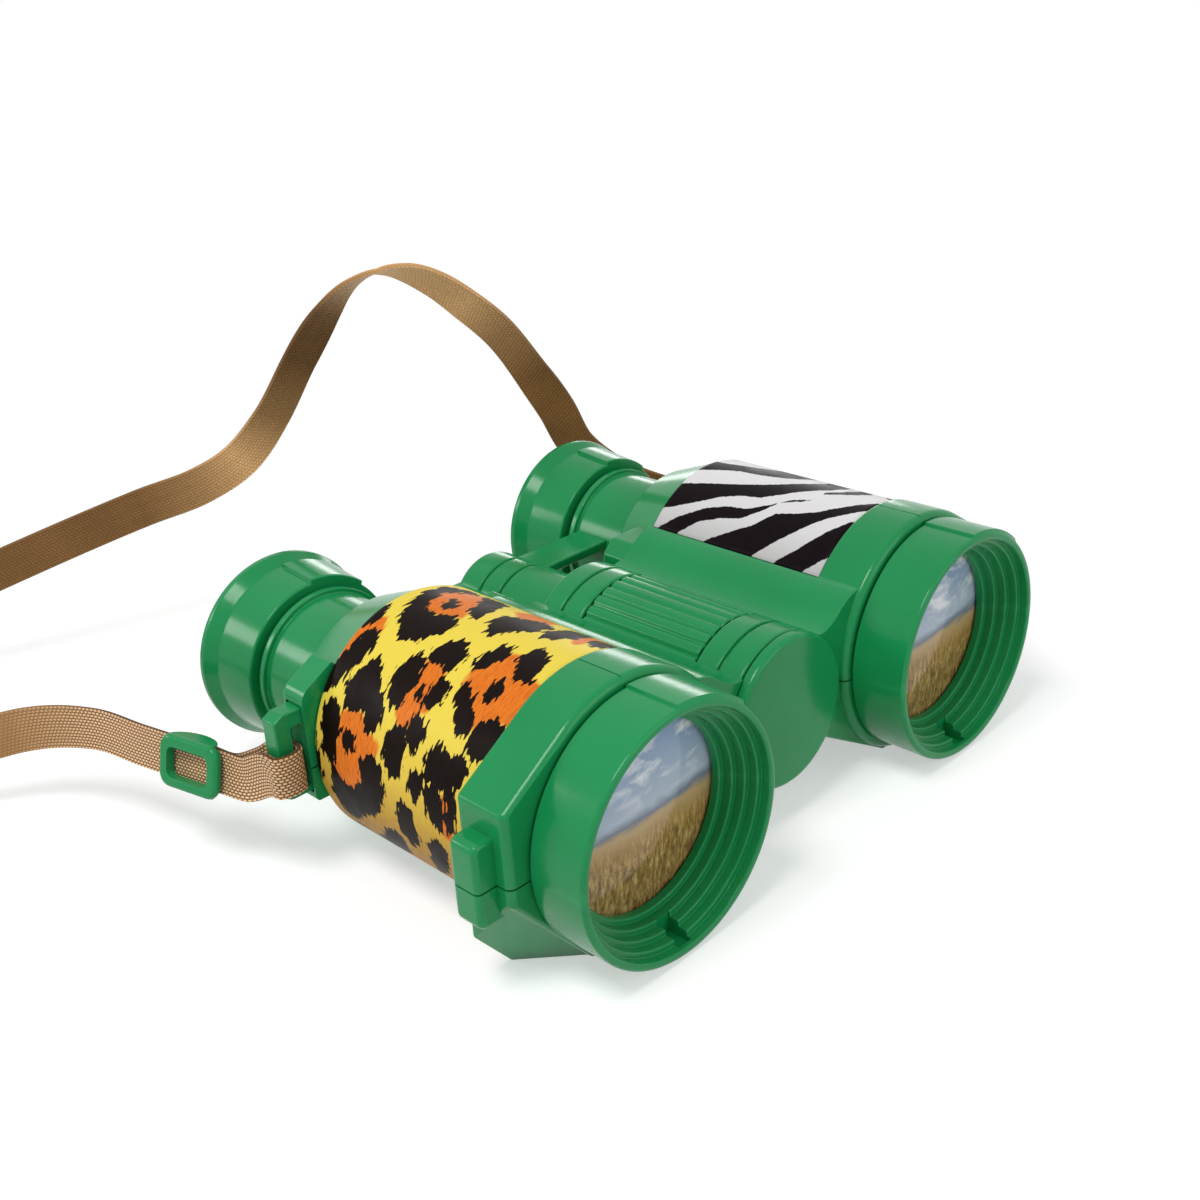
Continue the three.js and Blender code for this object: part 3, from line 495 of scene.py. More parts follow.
def block(x0, x1, y0, y1, z0, z1):
    return prism("tool", [(x0, z0), (x1, z0), (x1, z1), (x0, z1)], y0, y1)


def arc(radius, start, end, steps):
    turns = np.linspace(start, end, steps + 1)
    return [(radius * math.cos(t), radius * math.sin(t)) for t in turns]


def about_axis(outline, side=1):
    """Outline about a barrel's axis, at the barrel of one side."""
    return [(side * (AXIS_X + u), z) for u, z in outline]


def combine(obj, others, operation):
    """Boolean of a body with others, which are used up."""
    for other in others:
        step = obj.modifiers.new("step", "BOOLEAN")
        step.object = other
        step.operation = operation
        step.solver = "MANIFOLD"
        made = bpy.data.meshes.new_from_object(obj.evaluated_get(bpy.context.evaluated_depsgraph_get()))
        obj.modifiers.clear()
        spent = [obj.data, other.data]
        obj.data = made
        bpy.data.objects.remove(other)
        for mesh in spent:
            bpy.data.meshes.remove(mesh)
    return obj


def copy_of(obj, mirror=False):
    twin = bpy.data.objects.new(obj.name, obj.data.copy())
    scene.collection.objects.link(twin)
    if mirror:
        twin.data.transform(Matrix.Scale(-1, 4, (1, 0, 0)))
        twin.data.flip_normals()
    return twin


def store(obj, fields):
    """Keeps values for each point of a body by name, for its material."""
    for name, values in fields.items():
        layer = obj.data.attributes.new(name, "FLOAT", "POINT")
        layer.data.foreach_set("value", np.ascontiguousarray(values, np.float32).ravel())


def settle(obj, name, node, material, sharp=32, local=TO_MODEL):
    """Sets a piece in the model's frame in place of a CAD node, on that node's body."""
    obj.name = name
    obj.data.transform(Matrix.Scale(MM, 4) @ local)
    obj.data.polygons.foreach_set("use_smooth", [True] * len(obj.data.polygons))
    obj.data.set_sharp_from_angle(angle=math.radians(sharp))
    weighted = obj.modifiers.new("even_shading", "WEIGHTED_NORMAL")
    weighted.keep_sharp = True
    weighted.mode = "FACE_AREA_WITH_ANGLE"
    obj.data.materials.clear()
    obj.data.materials.append(material)
    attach(obj, frame["nodes"][node]["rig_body"])
    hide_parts(node)
    return obj


def centripetal(points, per_unit):
    """Points along a centripetal spline through the given ones, with each one's place on the list."""
    p = np.array(points, float)
    p = np.vstack([2 * p[0] - p[1], p, 2 * p[-1] - p[-2]])
    line, stations = [], []
    for i in range(1, len(p) - 2):
        p0, p1, p2, p3 = p[i - 1:i + 3]
        d0, d1, d2 = (math.sqrt(np.linalg.norm(b - a)) for a, b in ((p0, p1), (p1, p2), (p2, p3)))
        t1 = ((p1 - p0) / d0 - (p2 - p0) / (d0 + d1) + (p2 - p1) / d1) * d1
        t2 = ((p2 - p1) / d1 - (p3 - p1) / (d1 + d2) + (p3 - p2) / d2) * d1
        count = max(2, math.ceil(np.linalg.norm(p2 - p1) * per_unit))
        for u in np.arange(count) / count:
            curve = (2 * u**3 - 3 * u**2 + 1) * p1 + (u**3 - 2 * u**2 + u) * t1
            line.append(curve + (3 * u**2 - 2 * u**3) * p2 + (u**3 - u**2) * t2)
            stations.append(i - 1 + u)
    return np.array([*line, p[-2]]), np.array([*stations, len(points) - 1])


# Neck strap
STRAP_WIDTH = 8
STRAP_THICK = 0.8
STRAP_GATHER = 1.1  # how much narrower it is where the buckle draws it in
FACE_SHARE = 0.48  # of its width from the middle, where its flat ends
EDGE_SHARE = 0.2  # of its thickness from the middle, where its edge ends
WAVE_SHARE = 0.04  # of its thickness, how high its three waves are
POINTS_PER_MM = 1.6
# Its centreline in the model's frame: x, y, z in millimetres, the turn of its width from upright in
# degrees, and the share of its gather
STRAP_ROUTE = [
    (-63.45, 32.43, 14.9, -15, 1), (-62.38, 27.55, 14.9, -15, 1), (-61.1, 21.7, 14.9, -15, 1),
    (-58.7, 17, 17, -7, 1), (-57, 13.6, 19.3, 0, 1), (-57, 11, 19.4, 0, 1), (-57.25, 9.15, 19.4, 0, 1),
    (-58.5, 8.5, 19.4, 0, 1), (-60.3, 8.5, 19.4, 0, 1), (-61.6, 9.2, 19.4, 0, 1), (-61.7, 11, 19.4, 0, 1),
    (-61.7, 13.2, 18.5, 3, 1), (-62.4, 17, 16.65, 14, 1), (-63.4, 21.5, 16.55, 15, 1),
    (-64.6, 27.06, 16.55, 15, 1), (-67.17, 38.78, 16.55, 15, 1), (-69.75, 50.5, 16.55, 15, 1),
    (-76.2, 62.6, 14.8, 8, 0.4), (-90, 73, 10.8, 0, 0), (-106, 81, 5.6, 0, 0), (-123, 90, 4.2, 0, 0),
    (-137, 103, 4.2, 0, 0), (-142, 119, 4.2, 0, 0), (-134, 133, 4.2, 0, 0), (-118, 138, 4.6, 0, 0),
    (-100, 135, 6.4, 0, 0), (-82, 128.6, 11.8, 0, 0), (-65, 121.6, 17.6, 0, 0), (-46, 112.8, 23.6, 0, 0),
    (-27.5, 104.85, 28.6, 0, 0), (-17, 99.4, 31.3, 2, 0), (-9.3, 95.4, 35.5, 6, 0),
    (-2.9, 91.4, 43.6, 24, 0), (3, 87.4, 54.5, 34, 0), (7.8, 83.4, 63.1, 46, 0),
    (11.9, 80.9, 67.9, 60, 0), (17.2, 78.4, 70.3, 76, 0), (22.2, 75.4, 69.6, 58, 0),
    (27.4, 72.9, 66.5, 46, 0), (32.5, 70.4, 61.7, 36, 0), (38.5, 67.4, 54.8, 31, 0),
    (43.5, 63.9, 45.3, 22, 0), (47.1, 61.4, 37.7, 4, 0), (49.9, 58.4, 29.2, 0, 0), (54.4, 51, 22.6, 0, 0),
    (58.4, 41, 19.4, 0, 0), (60.7, 29, 18.6, 0, 0), (61.5, 18, 18.9, 0, 0), (61.7, 11, 19.5, 0, 0.5),
    (61.6, 9.2, 19.5, 0, 0.5), (60.3, 8.5, 19.5, 0, 0.5), (58.5, 8.5, 19.5, 0, 0.5),
    (57.25, 9.15, 19.5, 0, 0.5), (57, 11, 19.5, 0, 0.5), (57, 13.6, 19.5, 0, 0.5), (58.2, 20, 18.9, 0, 0),
    (58.8, 28, 18.7, 0, 0),
]
# How strongly painted sheen pales the webbing, at rows of the route counted from 0: most at its low bend
# and the top of its arch
STRAP_PAINTED_SHEEN = [
    (0, 0.4), (17, 0.4), (25, 0.1), (29, 0.12), (30, 0.45), (31, 1), (32, 0.3), (33, 0), (34, 0),
    (35, 0.5), (36, 1), (39, 1), (40, 0.35), (41, 0.05), (56, 0.2),
]


def strap_ring():
    """Section of the strap in shares of its width and thickness: waved faces between thinner edges."""
    face = np.linspace(-FACE_SHARE, FACE_SHARE, 13)
    half = [(w, 0.5 - WAVE_SHARE * math.cos(6 * math.pi * w)) for w in face]
    half += [(0.5, EDGE_SHARE), (0.5, -EDGE_SHARE)]
    return half + [(-w, -h) for w, h in half]


def add_strap(material):
    rows = np.arange(len(STRAP_ROUTE))
    line, stations = centripetal([p[:3] for p in STRAP_ROUTE], POINTS_PER_MM)
    turns = np.radians(np.interp(stations, rows, [p[3] for p in STRAP_ROUTE]))
    width = STRAP_WIDTH - STRAP_GATHER * np.interp(stations, rows, [p[4] for p in STRAP_ROUTE])
    along = np.concatenate([[0], np.cumsum(np.linalg.norm(np.diff(line, axis=0), axis=1))])
    tangent = np.gradient(line, along, axis=0)
    tangent /= np.linalg.norm(tangent, axis=1)[:, None]
    upright = np.array([0, 0, 1]) - tangent * tangent[:, 2:3]
    upright /= np.linalg.norm(upright, axis=1)[:, None]
    level = np.cross(tangent, upright)
    wide = upright * np.cos(turns)[:, None] + level * np.sin(turns)[:, None]
    thin = np.cross(tangent, wide)
    share, height = np.array(strap_ring()).T
    reach = width[:, None] * share[None, :]
    verts = line[:, None] + reach[..., None] * wide[:, None]
    verts += (STRAP_THICK * height)[None, :, None] * thin[:, None]
    obj = loft("neck_strap_webbing", [[tuple(v) for v in row] for row in verts])
    # Painted sheen, paler at the bends and the arch top, stored for the webbing's material.
    painted_sheen = np.interp(stations, *zip(*STRAP_PAINTED_SHEEN))
    store(obj, {
        "across": np.broadcast_to((share + 0.5) * STRAP_WIDTH, reach.shape),
        "along": np.broadcast_to(along[:, None], reach.shape),
        "painted_sheen": np.broadcast_to(painted_sheen[:, None], reach.shape),
    })
    settle(obj, "neck_strap_webbing", "neck_strap", material, sharp=60, local=Matrix.Identity(4))


# Housing
BODY_R = 20.6
SHOULDER_R = 19.7
SHOULDER_END_R = 16.1
SHOULDER_EDGE = 0.6
COLLAR_LAP = (1.2, 0.6)  # how far the barrel runs on inside the collar, and how far it drops there
WRAP_R = 20.1
WRAP_THICK = 0.8
WRAP_EDGES = (-55, 140)  # degrees about the barrel, 0 outward and 90 up
SHELL_WALL = 2.2
RECESS_R = WRAP_R - WRAP_THICK - FIT
CAVITY_R = RECESS_R - SHELL_WALL
PARTING = -1.2
PAST = 1  # how far a cutting tool runs past what it cuts
COLLAR_EDGE = 1.2
COLLAR_BACK_EDGE = 0.5
COLLAR_CORNER = 0.9
COLLAR_SEAM = (0.24, 0.3)  # width and depth of the line on top of it
FLAT_REACH = 22.6  # of its outer flat from the axis
FLAT_TOP = 9.9
FLAT_LOW = (3.9, 12.4)  # at its front and back, as the lower facet grows rearward
FOOT_REACH = (8.3, 16)  # of its foot from the axis, at its front and back
BOSS_PROUD = 3.3
BOSS_REACH = FLAT_REACH + BOSS_PROUD
BOSS_LENGTH = 5
BOSS_HEIGHTS = (-7, 6)
BOSS_BACK = 0.55  # of its middle behind the collar's
BOSS_CORNER = 1.3
BOSS_EDGE = 0.8
PAD_LENGTH = 5
PAD_REACH = 20.9
PAD_TOP = 14.2
PAD_TOP_REACH = 14.9  # of its top corner, where the slope begins
PAD_SLOPE = math.radians(29)
PAD_LOW = 7
PAD_ROOT = 10  # of its hidden side from the axis
PAD_CORNERS = (2.6, 0.25, 0, 0, 0.8)
PAD_EDGE = 0.6
INNER_PAD_REACH = 23.2
INNER_PAD_TOP = 11.3
INNER_PAD_BEVEL = 2.4
INNER_PAD_CORNER = 0.8
COLUMN_R = 12.6
CHANNEL_R = COLUMN_R + RUN
WEB_SEAM = math.radians(44)  # about the column, where the webs meet it
SEAM_X = CHANNEL_R * math.cos(WEB_SEAM)
SEAM_Z = CHANNEL_R * math.sin(WEB_SEAM)
WEB_SWELL = 0.45  # of the web's upper face, out by the wrap and in by the column
WEB_EDGE = 0.3
BELLY_WALL = 2
BELLY_Z = -(CHANNEL_R + BELLY_WALL)


def collar_ring(y, depth, end):
    """Collar's outline about one barrel, at its front (0) or back (1): round inside, faceted outside."""
    radius, reach = BODY_R - depth, FLAT_REACH - depth
    start = math.atan2(FLAT_TOP, reach) + math.acos(radius / math.hypot(FLAT_TOP, reach))
    bend = arc(radius, start, 1.5 * math.pi, 72)
    corners = [(FOOT_REACH[end], -radius), (reach, -FLAT_LOW[end]), (reach, FLAT_TOP)]
    outline = fillet(bend + corners, [0] * len(bend) + [COLLAR_CORNER] * len(corners), 4)
    return [(x, y, z) for x, z in about_axis(outline)]


def right_collar():
    front = [collar_ring(Y_COLLAR + setback, depth, 0) for depth, setback in round_over(COLLAR_EDGE, 4)]
    back = [collar_ring(Y_WRAP - setback, depth, 1) for depth, setback in round_over(COLLAR_BACK_EDGE, 4)]
    return loft("collar", front + back[::-1])


def right_boss():
    inside = FLAT_REACH - BOSS_PROUD / 2
    low, top = BOSS_HEIGHTS
    outline = [(inside, top), (BOSS_REACH, top), (BOSS_REACH, low), (inside, low)]
    outline = fillet(outline, [0, BOSS_CORNER, BOSS_CORNER, 0], 5)
    start = (Y_COLLAR + Y_WRAP - BOSS_LENGTH) / 2 + BOSS_BACK
    return prism("boss", about_axis(outline), start, start + BOSS_LENGTH, BOSS_EDGE)


def rear_pad(outline, corners, steps):
    rounded = about_axis(fillet(outline, corners, steps))
    return prism("pad", rounded, Y_SHOULDER - PAD_EDGE, Y_SHOULDER + PAD_LENGTH, PAD_EDGE)


def right_pad():
    slope_end = PAD_TOP - (PAD_REACH - PAD_TOP_REACH) * math.tan(PAD_SLOPE)
    root_top = PAD_ROOT * PAD_TOP / PAD_TOP_REACH
    upper = [(PAD_REACH, slope_end), (PAD_TOP_REACH, PAD_TOP), (PAD_ROOT, root_top)]
    lower = [(PAD_ROOT, -PAD_LOW), (PAD_REACH, -PAD_LOW)]
    return rear_pad(upper + lower, PAD_CORNERS, 6)


def right_inner_pad():
    reach, top = INNER_PAD_REACH, INNER_PAD_TOP
    upper = [(-PAD_ROOT, top), (INNER_PAD_BEVEL - reach, top), (-reach, top - INNER_PAD_BEVEL)]
    lower = [(u, -z) for u, z in reversed(upper)]
    return rear_pad(upper + lower, [0, *[INNER_PAD_CORNER] * 4, 0], 4)


def right_web():
    edge = math.radians(WRAP_EDGES[1])
    wrap_edge = Vector((AXIS_X + BODY_R * math.cos(edge), BODY_R * math.sin(edge)))
    run = Vector((SEAM_X, SEAM_Z)) - wrap_edge
    swell = Vector((run.y, -run.x)).normalized() * WEB_SWELL
    steps = np.linspace(0, 1, 17)
    top = [tuple(wrap_edge + run * t + swell * math.sin(2 * math.pi * t)) for t in steps]
    low = [(SEAM_X, -SEAM_Z), (FOOT_INNER_X, -FOOT_DROP), (AXIS_X, -FOOT_DROP)]
    return prism("web", [(AXIS_X, 0), *top, *low], Y_COLLAR + COLLAR_EDGE, Y_SHOULDER, WEB_EDGE)


def bores(x):
    """Bores of one barrel: for the bezel's spigot, the cavity behind it and the eyepiece tube."""
    spigot = rod(SPIGOT_R + FIT, Y_COLLAR - FIT, Y_SPIGOT + FIT, x)
    tube = rod(TUBE_R + RUN, Y_SHOULDER - FIT, Y_NECK + FIT, x)
    return [spigot, rod(CAVITY_R, Y_SPIGOT, Y_SHOULDER, x), tube]


def channel():
    """Room for the centre column."""
    return rod(CHANNEL_R, 0, Y_NECK + PAST)


def right_hollows():
    slack = FIT / WRAP_R
    start, end = math.radians(WRAP_EDGES[0]) - slack, math.radians(WRAP_EDGES[1]) + slack
    ring = arc(BOSS_REACH, start, end, 90) + arc(RECESS_R, end, start, 90)
    recess = prism("tool", about_axis(ring), Y_WRAP, Y_SHOULDER)
    inside, outside = AXIS_X + PAD_REACH - LUG_ROOT - FIT, AXIS_X + PAD_REACH + LUG_SLOT
    thick = LUG_THICK / 2 + FIT
    pocket = block(inside, outside, Y_LUG - thick, Y_LUG + thick, -LUG_LOW - FIT, LUG_TOP + FIT)
    half, depth = COLLAR_SEAM[0] / 2, COLLAR_SEAM[1]
    sides = (AXIS_X - half, AXIS_X + half)
    seam = block(*sides, Y_COLLAR - PAST, Y_WRAP + PAST, BODY_R - depth, BODY_R + PAST)
    return [*bores(AXIS_X), recess, pocket, seam, channel()]


def right_side():
    lap, drop = COLLAR_LAP
    section = [
        (0, Y_WRAP - lap), (BODY_R - drop, Y_WRAP - lap), (BODY_R - drop, Y_WRAP), (BODY_R, Y_WRAP),
        (BODY_R, Y_SHOULDER), (SHOULDER_R, Y_SHOULDER), (SHOULDER_END_R, Y_NECK), (0, Y_NECK),
    ]
    barrel = lathe("barrel", section, AXIS_X, edge=[0, 0, 0, 0, 0, 0, SHOULDER_EDGE, 0])
    combine(barrel, [right_collar(), right_boss(), right_pad(), right_inner_pad(), right_web()], "UNION")
    return combine(barrel, right_hollows() + screw_holes([1]), "DIFFERENCE")


def add_housing(material):
    right = right_side()
    left = copy_of(right, mirror=True)
    above = block(-FAR, FAR, -FAR, FAR, PARTING + FIT / 2, FAR)
    belly_x = SEAM_X + (-BELLY_Z - SEAM_Z) * (FOOT_INNER_X - SEAM_X) / (FOOT_DROP - SEAM_Z)
    belly = block(-belly_x, belly_x, Y_WHEEL, Y_SHOULDER, BELLY_Z, PARTING)
    combine(belly, [channel(), *bores(-AXIS_X), *bores(AXIS_X), *screw_holes([-1, 1])], "DIFFERENCE")
    lower = combine(copy_of(right), [copy_of(left), belly], "UNION")
    combine(lower, [block(-FAR, FAR, -FAR, FAR, -FOOT_DROP, PARTING - FIT / 2)], "INTERSECT")
    settle(lower, "lower_housing", "lower_shell", material)
    combine(right, [copy_of(above)], "INTERSECT")
    settle(right, "right_upper_housing", "right_upper_shell", material)
    combine(left, [above], "INTERSECT")
    settle(left, "left_upper_housing", "left_upper_shell", material)


# Screws, from below
SCREW_X = (CHANNEL_R + AXIS_X - CAVITY_R) / 2
SCREW_INSET = 5  # from both ends of the wrap
SCREW_R = 1
SCREW_TOP = 6
SCREW_TIP = 0.35
HEAD_R = 1.9
HEAD_LENGTH = 1.5
HEAD_DOME = [(1.2, 0.05), (HEAD_R, 0.5)]
CROSS_REACH = 1.15
CROSS_HALF = 0.22
CROSS_DEPTH = 0.6


def screw_places():
    """Side, end, x and y of each screw."""
    ends = (("front", Y_WRAP + SCREW_INSET), ("rear", Y_SHOULDER - SCREW_INSET))
    return [(side, end, side * SCREW_X, y) for side in (-1, 1) for end, y in ends]


def upright_post(radius, x, y, z0, z1):
    section = [(0, z0), (radius, z0), (radius, z1), (0, z1)]
    post = lathe("tool", section, edge=0, angles=np.arange(0, 360, 10))
    post.data.transform(Matrix.Translation((x, y, 0)) @ Matrix.Rotation(math.pi / 2, 4, "X"))
    return post


def screw_holes(sides):
    head = BELLY_Z + HEAD_LENGTH + FIT
    holes = []
    for side, _, x, y in screw_places():
        if side in sides:
            holes.append(upright_post(SCREW_R + FIT, x, y, head - FIT, SCREW_TOP + FIT))
            holes.append(upright_post(HEAD_R + FIT, x, y, -BODY_R, head))
    return holes


def add_screws(material):
    length = SCREW_TOP - BELLY_Z
    section = [(0, 0), *HEAD_DOME, (HEAD_R, HEAD_LENGTH), (SCREW_R, HEAD_LENGTH)]
    section += [(SCREW_R, length - SCREW_TIP), (0, length)]
    for side, end, x, y in screw_places():
        name = f"{'left' if side < 0 else 'right'}_{end}_screw"
        made = lathe("screw", section, edge=0.08, angles=np.arange(0, 360, 7.5))
        for half_x, half_z in ((CROSS_REACH, CROSS_HALF), (CROSS_HALF, CROSS_REACH)):
            cross = block(-half_x, half_x, -PAST, CROSS_DEPTH, -half_z, half_z)
            combine(made, [cross], "DIFFERENCE")
        made.data.transform(Matrix.Translation((x, y, BELLY_Z)) @ Matrix.Rotation(math.pi / 2, 4, "X"))
        settle(made, name + "_cross_head", name, material)


# Optics
RIM_R = 19.3
RIM_INNER_R = 18
LENS_VIEW_R = 14.4
LENS_R = 15.9
LENS_THICK = 2
LENS_DOME = 1
STEP_COUNT = 4  # of the steps from the rim down to the lens
STEP_DEPTH = 1.6
STEP_RISE = (RIM_INNER_R - LENS_VIEW_R) / STEP_COUNT
SEAT_LIP = 1.4
Y_SEAT = STEP_COUNT * STEP_DEPTH + SEAT_LIP
SPIGOT_R = 17.6
SPIGOT_LENGTH = 6
Y_SPIGOT = BEZEL_LENGTH + SPIGOT_LENGTH
NOTCH_HALF = 1.3
NOTCH_REACH = 18.7
NOTCH_ENDS = (0.8, 5)
RETAINER_WIDTH = 1.6
RETAINER_LENGTH = 3
LAND = (48, 90)  # degrees, the edges of the raised land on a bezel or an eyecup
LAND_RAMPS = (47.2, 47.6, 48.2, 89.8, 90.2, 90.6)  # close turns that keep both edges crisp
LAND_SKIN = 0.35  # how deep below the outside a point still belongs to it
BEZEL_LAND = 0.4
EYECUP_LAND = 0.6
LAND_END = 0.1  # of an eyecup's land ahead of the ends of its sleeve
TUBE_R = 12.5
TUBE_BORE_R = 9.8
TUBE_HIDDEN = 14
FLANGE_R = TUBE_R + 0.8
FLANGE_LENGTH = 1.2
TUBE_SPIGOT_R = 11.4
Y_TUBE_END = Y_TUBE + 7.5
EYE_LENS_R = 10.3
EYE_LENS_THICK = 1.8
EYE_DOME = (9, 0.7)  # radius and height
EYECUP_R = 14.4  # at its front
SLEEVE_R = 15.1
SLEEVE_LENGTH = 8.4
FLARE_R = 16.4
FLARE_LENGTH = 2.4
EYECUP_RIM = 0.9
LIP_R = 9.4
LIP_THICK = 1.1


def land_turns():
    """Angles round a turned piece, with close ones at both edges of its raised land."""
    even = [t for t in np.arange(0, 360, 2.5) if min(abs(t - edge) for edge in LAND) > 1.3]
    return sorted([*even, *LAND_RAMPS])


def land_lift(rise, outer, y0, y1):
    def lift(turn, r, y):
        within = LAND[0] < math.degrees(turn) < LAND[1]
        return rise if within and r > outer(y) - LAND_SKIN and y0 <= y <= y1 else 0.0
    return lift


def add_bezel(name, x, material):
    seat_r = LENS_R + FIT
    section = [
        (RIM_INNER_R, 0), (RIM_R, 0), (RIM_R, BEZEL_LENGTH), (SPIGOT_R, BEZEL_LENGTH),
        (SPIGOT_R, Y_SPIGOT), (seat_r, Y_SPIGOT), (seat_r, Y_SEAT), (LENS_VIEW_R, Y_SEAT),
    ]
    corners = [0.35, 0.55, 0.3, 0.1, 0.2, 0.1, 0.1, 0.1]
    for k in range(STEP_COUNT):
        y = (STEP_COUNT - k) * STEP_DEPTH
        section += [(LENS_VIEW_R + k * STEP_RISE, y), (LENS_VIEW_R + (k + 1) * STEP_RISE, y)]
        corners += [0.3, 0.12]
    lift = land_lift(BEZEL_LAND, lambda y: RIM_R, FIT, BEZEL_LENGTH + FIT)
    made = lathe("bezel", section, x, corners, land_turns(), lift)
    combine(made, [block(x - NOTCH_HALF, x + NOTCH_HALF, *NOTCH_ENDS, -NOTCH_REACH, 0)], "DIFFERENCE")
    settle(made, f"{name}_bezel_ring", f"{name}_bezel", material)


def add_lens(name, x, material):
    front, view = Y_SEAT + FIT, LENS_VIEW_R - FIT
    back = front + LENS_THICK
    dome = [(r, front - LENS_DOME * (1 - (r / view) ** 2)) for r in np.linspace(0, view, 14)]
    made = lathe("lens", [*dome, (LENS_R, front), (LENS_R, back), (0, back)], x, edge=0)
    settle(made, f"{name}_picture_lens", f"{name}_objective_lens", material)


def add_retainer(name, x, material):
    front = Y_SEAT + LENS_THICK + 2 * FIT
    back = front + RETAINER_LENGTH
    inside = LENS_R - RETAINER_WIDTH
    made = lathe("retainer", [(inside, front), (LENS_R, front), (LENS_R, back), (inside, back)], x, 0.2)
    settle(made, f"{name}_retainer_ring", f"{name}_lens_retainer", material)


def add_tube(name, x, material):
    front, flange, seat = Y_NECK - TUBE_HIDDEN, Y_TUBE - FLANGE_LENGTH, Y_TUBE_END - EYE_LENS_THICK - FIT
    seat_r = EYE_LENS_R + FIT
    tube = lathe("tube", [
        (TUBE_BORE_R, front), (TUBE_R, front), (TUBE_R, flange), (FLANGE_R, flange), (FLANGE_R, Y_TUBE),
        (TUBE_SPIGOT_R, Y_TUBE), (TUBE_SPIGOT_R, Y_TUBE_END), (seat_r, Y_TUBE_END), (seat_r, seat),
        (TUBE_BORE_R, seat),
    ], x, 0.2)
    settle(tube, f"{name}_eyepiece_barrel", f"{name}_eyepiece_tube", material)


def add_eye_lens(name, x, material):
    front = Y_TUBE_END - EYE_LENS_THICK
    reach, height = EYE_DOME
    dome = [(r, Y_TUBE_END - height * (r / reach) ** 2) for r in np.linspace(reach, 0, 12)]
    rim = [(0, front), (EYE_LENS_R, front), (EYE_LENS_R, Y_TUBE_END - height)]
    settle(lathe("eye_lens", rim + dome, x, edge=0), f"{name}_eye_window", f"{name}_eye_lens", material)


def add_eyecup(name, x, material):
    sleeve_end, lip = Y_EYECUP + SLEEVE_LENGTH, Y_TUBE_END + FIT
    bore = TUBE_SPIGOT_R + FIT
    section = [
        (bore, Y_EYECUP), (EYECUP_R, Y_EYECUP), (SLEEVE_R, sleeve_end),
        (FLARE_R, sleeve_end + FLARE_LENGTH), (FLARE_R, Y_REAR), (FLARE_R - EYECUP_RIM, Y_REAR),
        (LIP_R, lip + LIP_THICK), (LIP_R, lip), (bore, lip),
    ]
    corners = [0.15, 0.4, 1.2, 0.5, 0.4, 0.4, 0.4, 0.2, 0.1]
    taper = (SLEEVE_R - EYECUP_R) / SLEEVE_LENGTH
    ends = (Y_EYECUP - LAND_END, sleeve_end - LAND_END)
    lift = land_lift(EYECUP_LAND, lambda y: EYECUP_R + taper * (y - Y_EYECUP), *ends)
    cup = lathe("eyecup", section, x, corners, land_turns(), lift)
    settle(cup, f"{name}_eyecup_shell", f"{name}_eyecup", material)


# Centre column
COLUMN_LEAD = 0.5  # of its front face ahead of the collars
CAP_LENGTH = 2
CAP_SPIGOT_R = 9
CAP_SPIGOT_LENGTH = 2.6
BAND = 4.4
BEARING_LENGTH = 3
WHEEL_LENGTH = 24
WHEEL_EDGE = 0.35
RIBS = 34
RIB_DEPTH = 0.4
RIB_SOFT = 0.17  # of the ribs' pitch, how wide the valleys between them are
GROOVE_HALVES = (0.34, 0.24)  # half its width at the top and at the floor
GROOVE_DEPTH = 0.6
GROOVE_CORNERS = [0.25, 0.1, 0.1, 0.25]
SPINDLE_R = 3
SPINDLE_IN_HUB = 17  # length of the spindle that the hub covers
HUB_R = 8.5
HUB_INSET = 3.6  # of the hub's front from the wheel
HUB_DOME = 1.6
HUB_GROOVES = (9.9, 5.2)  # from its rear end
ARM_LENGTH = 7.8
ARM_THICK = 1.8
ARM_TOP = 5
ARM_CORNER = 0.3
ARM_EDGE = 0.4
Y_CAP = Y_COLLAR - COLUMN_LEAD
Y_FRONT_SLEEVE = Y_CAP + CAP_LENGTH + FIT
Y_WHEEL = Y_FRONT_SLEEVE + 2 * BAND + FIT
Y_WHEEL_END = Y_WHEEL + WHEEL_LENGTH
Y_REAR_SLEEVE = Y_WHEEL_END + FIT
Y_HUB = Y_WHEEL_END + HUB_INSET
BEARING_R = SPINDLE_R + RUN


def groove(radius, y):
    """Narrow turned groove, as section points."""
    half, floor = GROOVE_HALVES
    low = radius - GROOVE_DEPTH
    return [(radius, y - half), (low, y - floor), (low, y + floor), (radius, y + half)]


def add_cap(material):
    back = Y_CAP + CAP_LENGTH
    end = back + CAP_SPIGOT_LENGTH
    disc = [(0, Y_CAP), (COLUMN_R, Y_CAP), (COLUMN_R, back)]
    spigot = [(CAP_SPIGOT_R, back), (CAP_SPIGOT_R, end), (0, end)]
    cap = lathe("cap", disc + spigot, edge=[0, 0.9, 0.2, 0.1, 0.1, 0])
    settle(cap, "front_cap_disc", "front_cap", material)


def add_sleeve(name, front, bore, corner, material):
    """Sleeve of two bands with a groove between them, and its bore as section points."""
    outside = [(COLUMN_R, front), *groove(COLUMN_R, front + BAND), (COLUMN_R, front + 2 * BAND)]
    corners = [0.45, *GROOVE_CORNERS, corner, *[0.1] * len(bore)]
    settle(lathe("sleeve", outside + bore, edge=corners), f"{name}_bands", name, material)


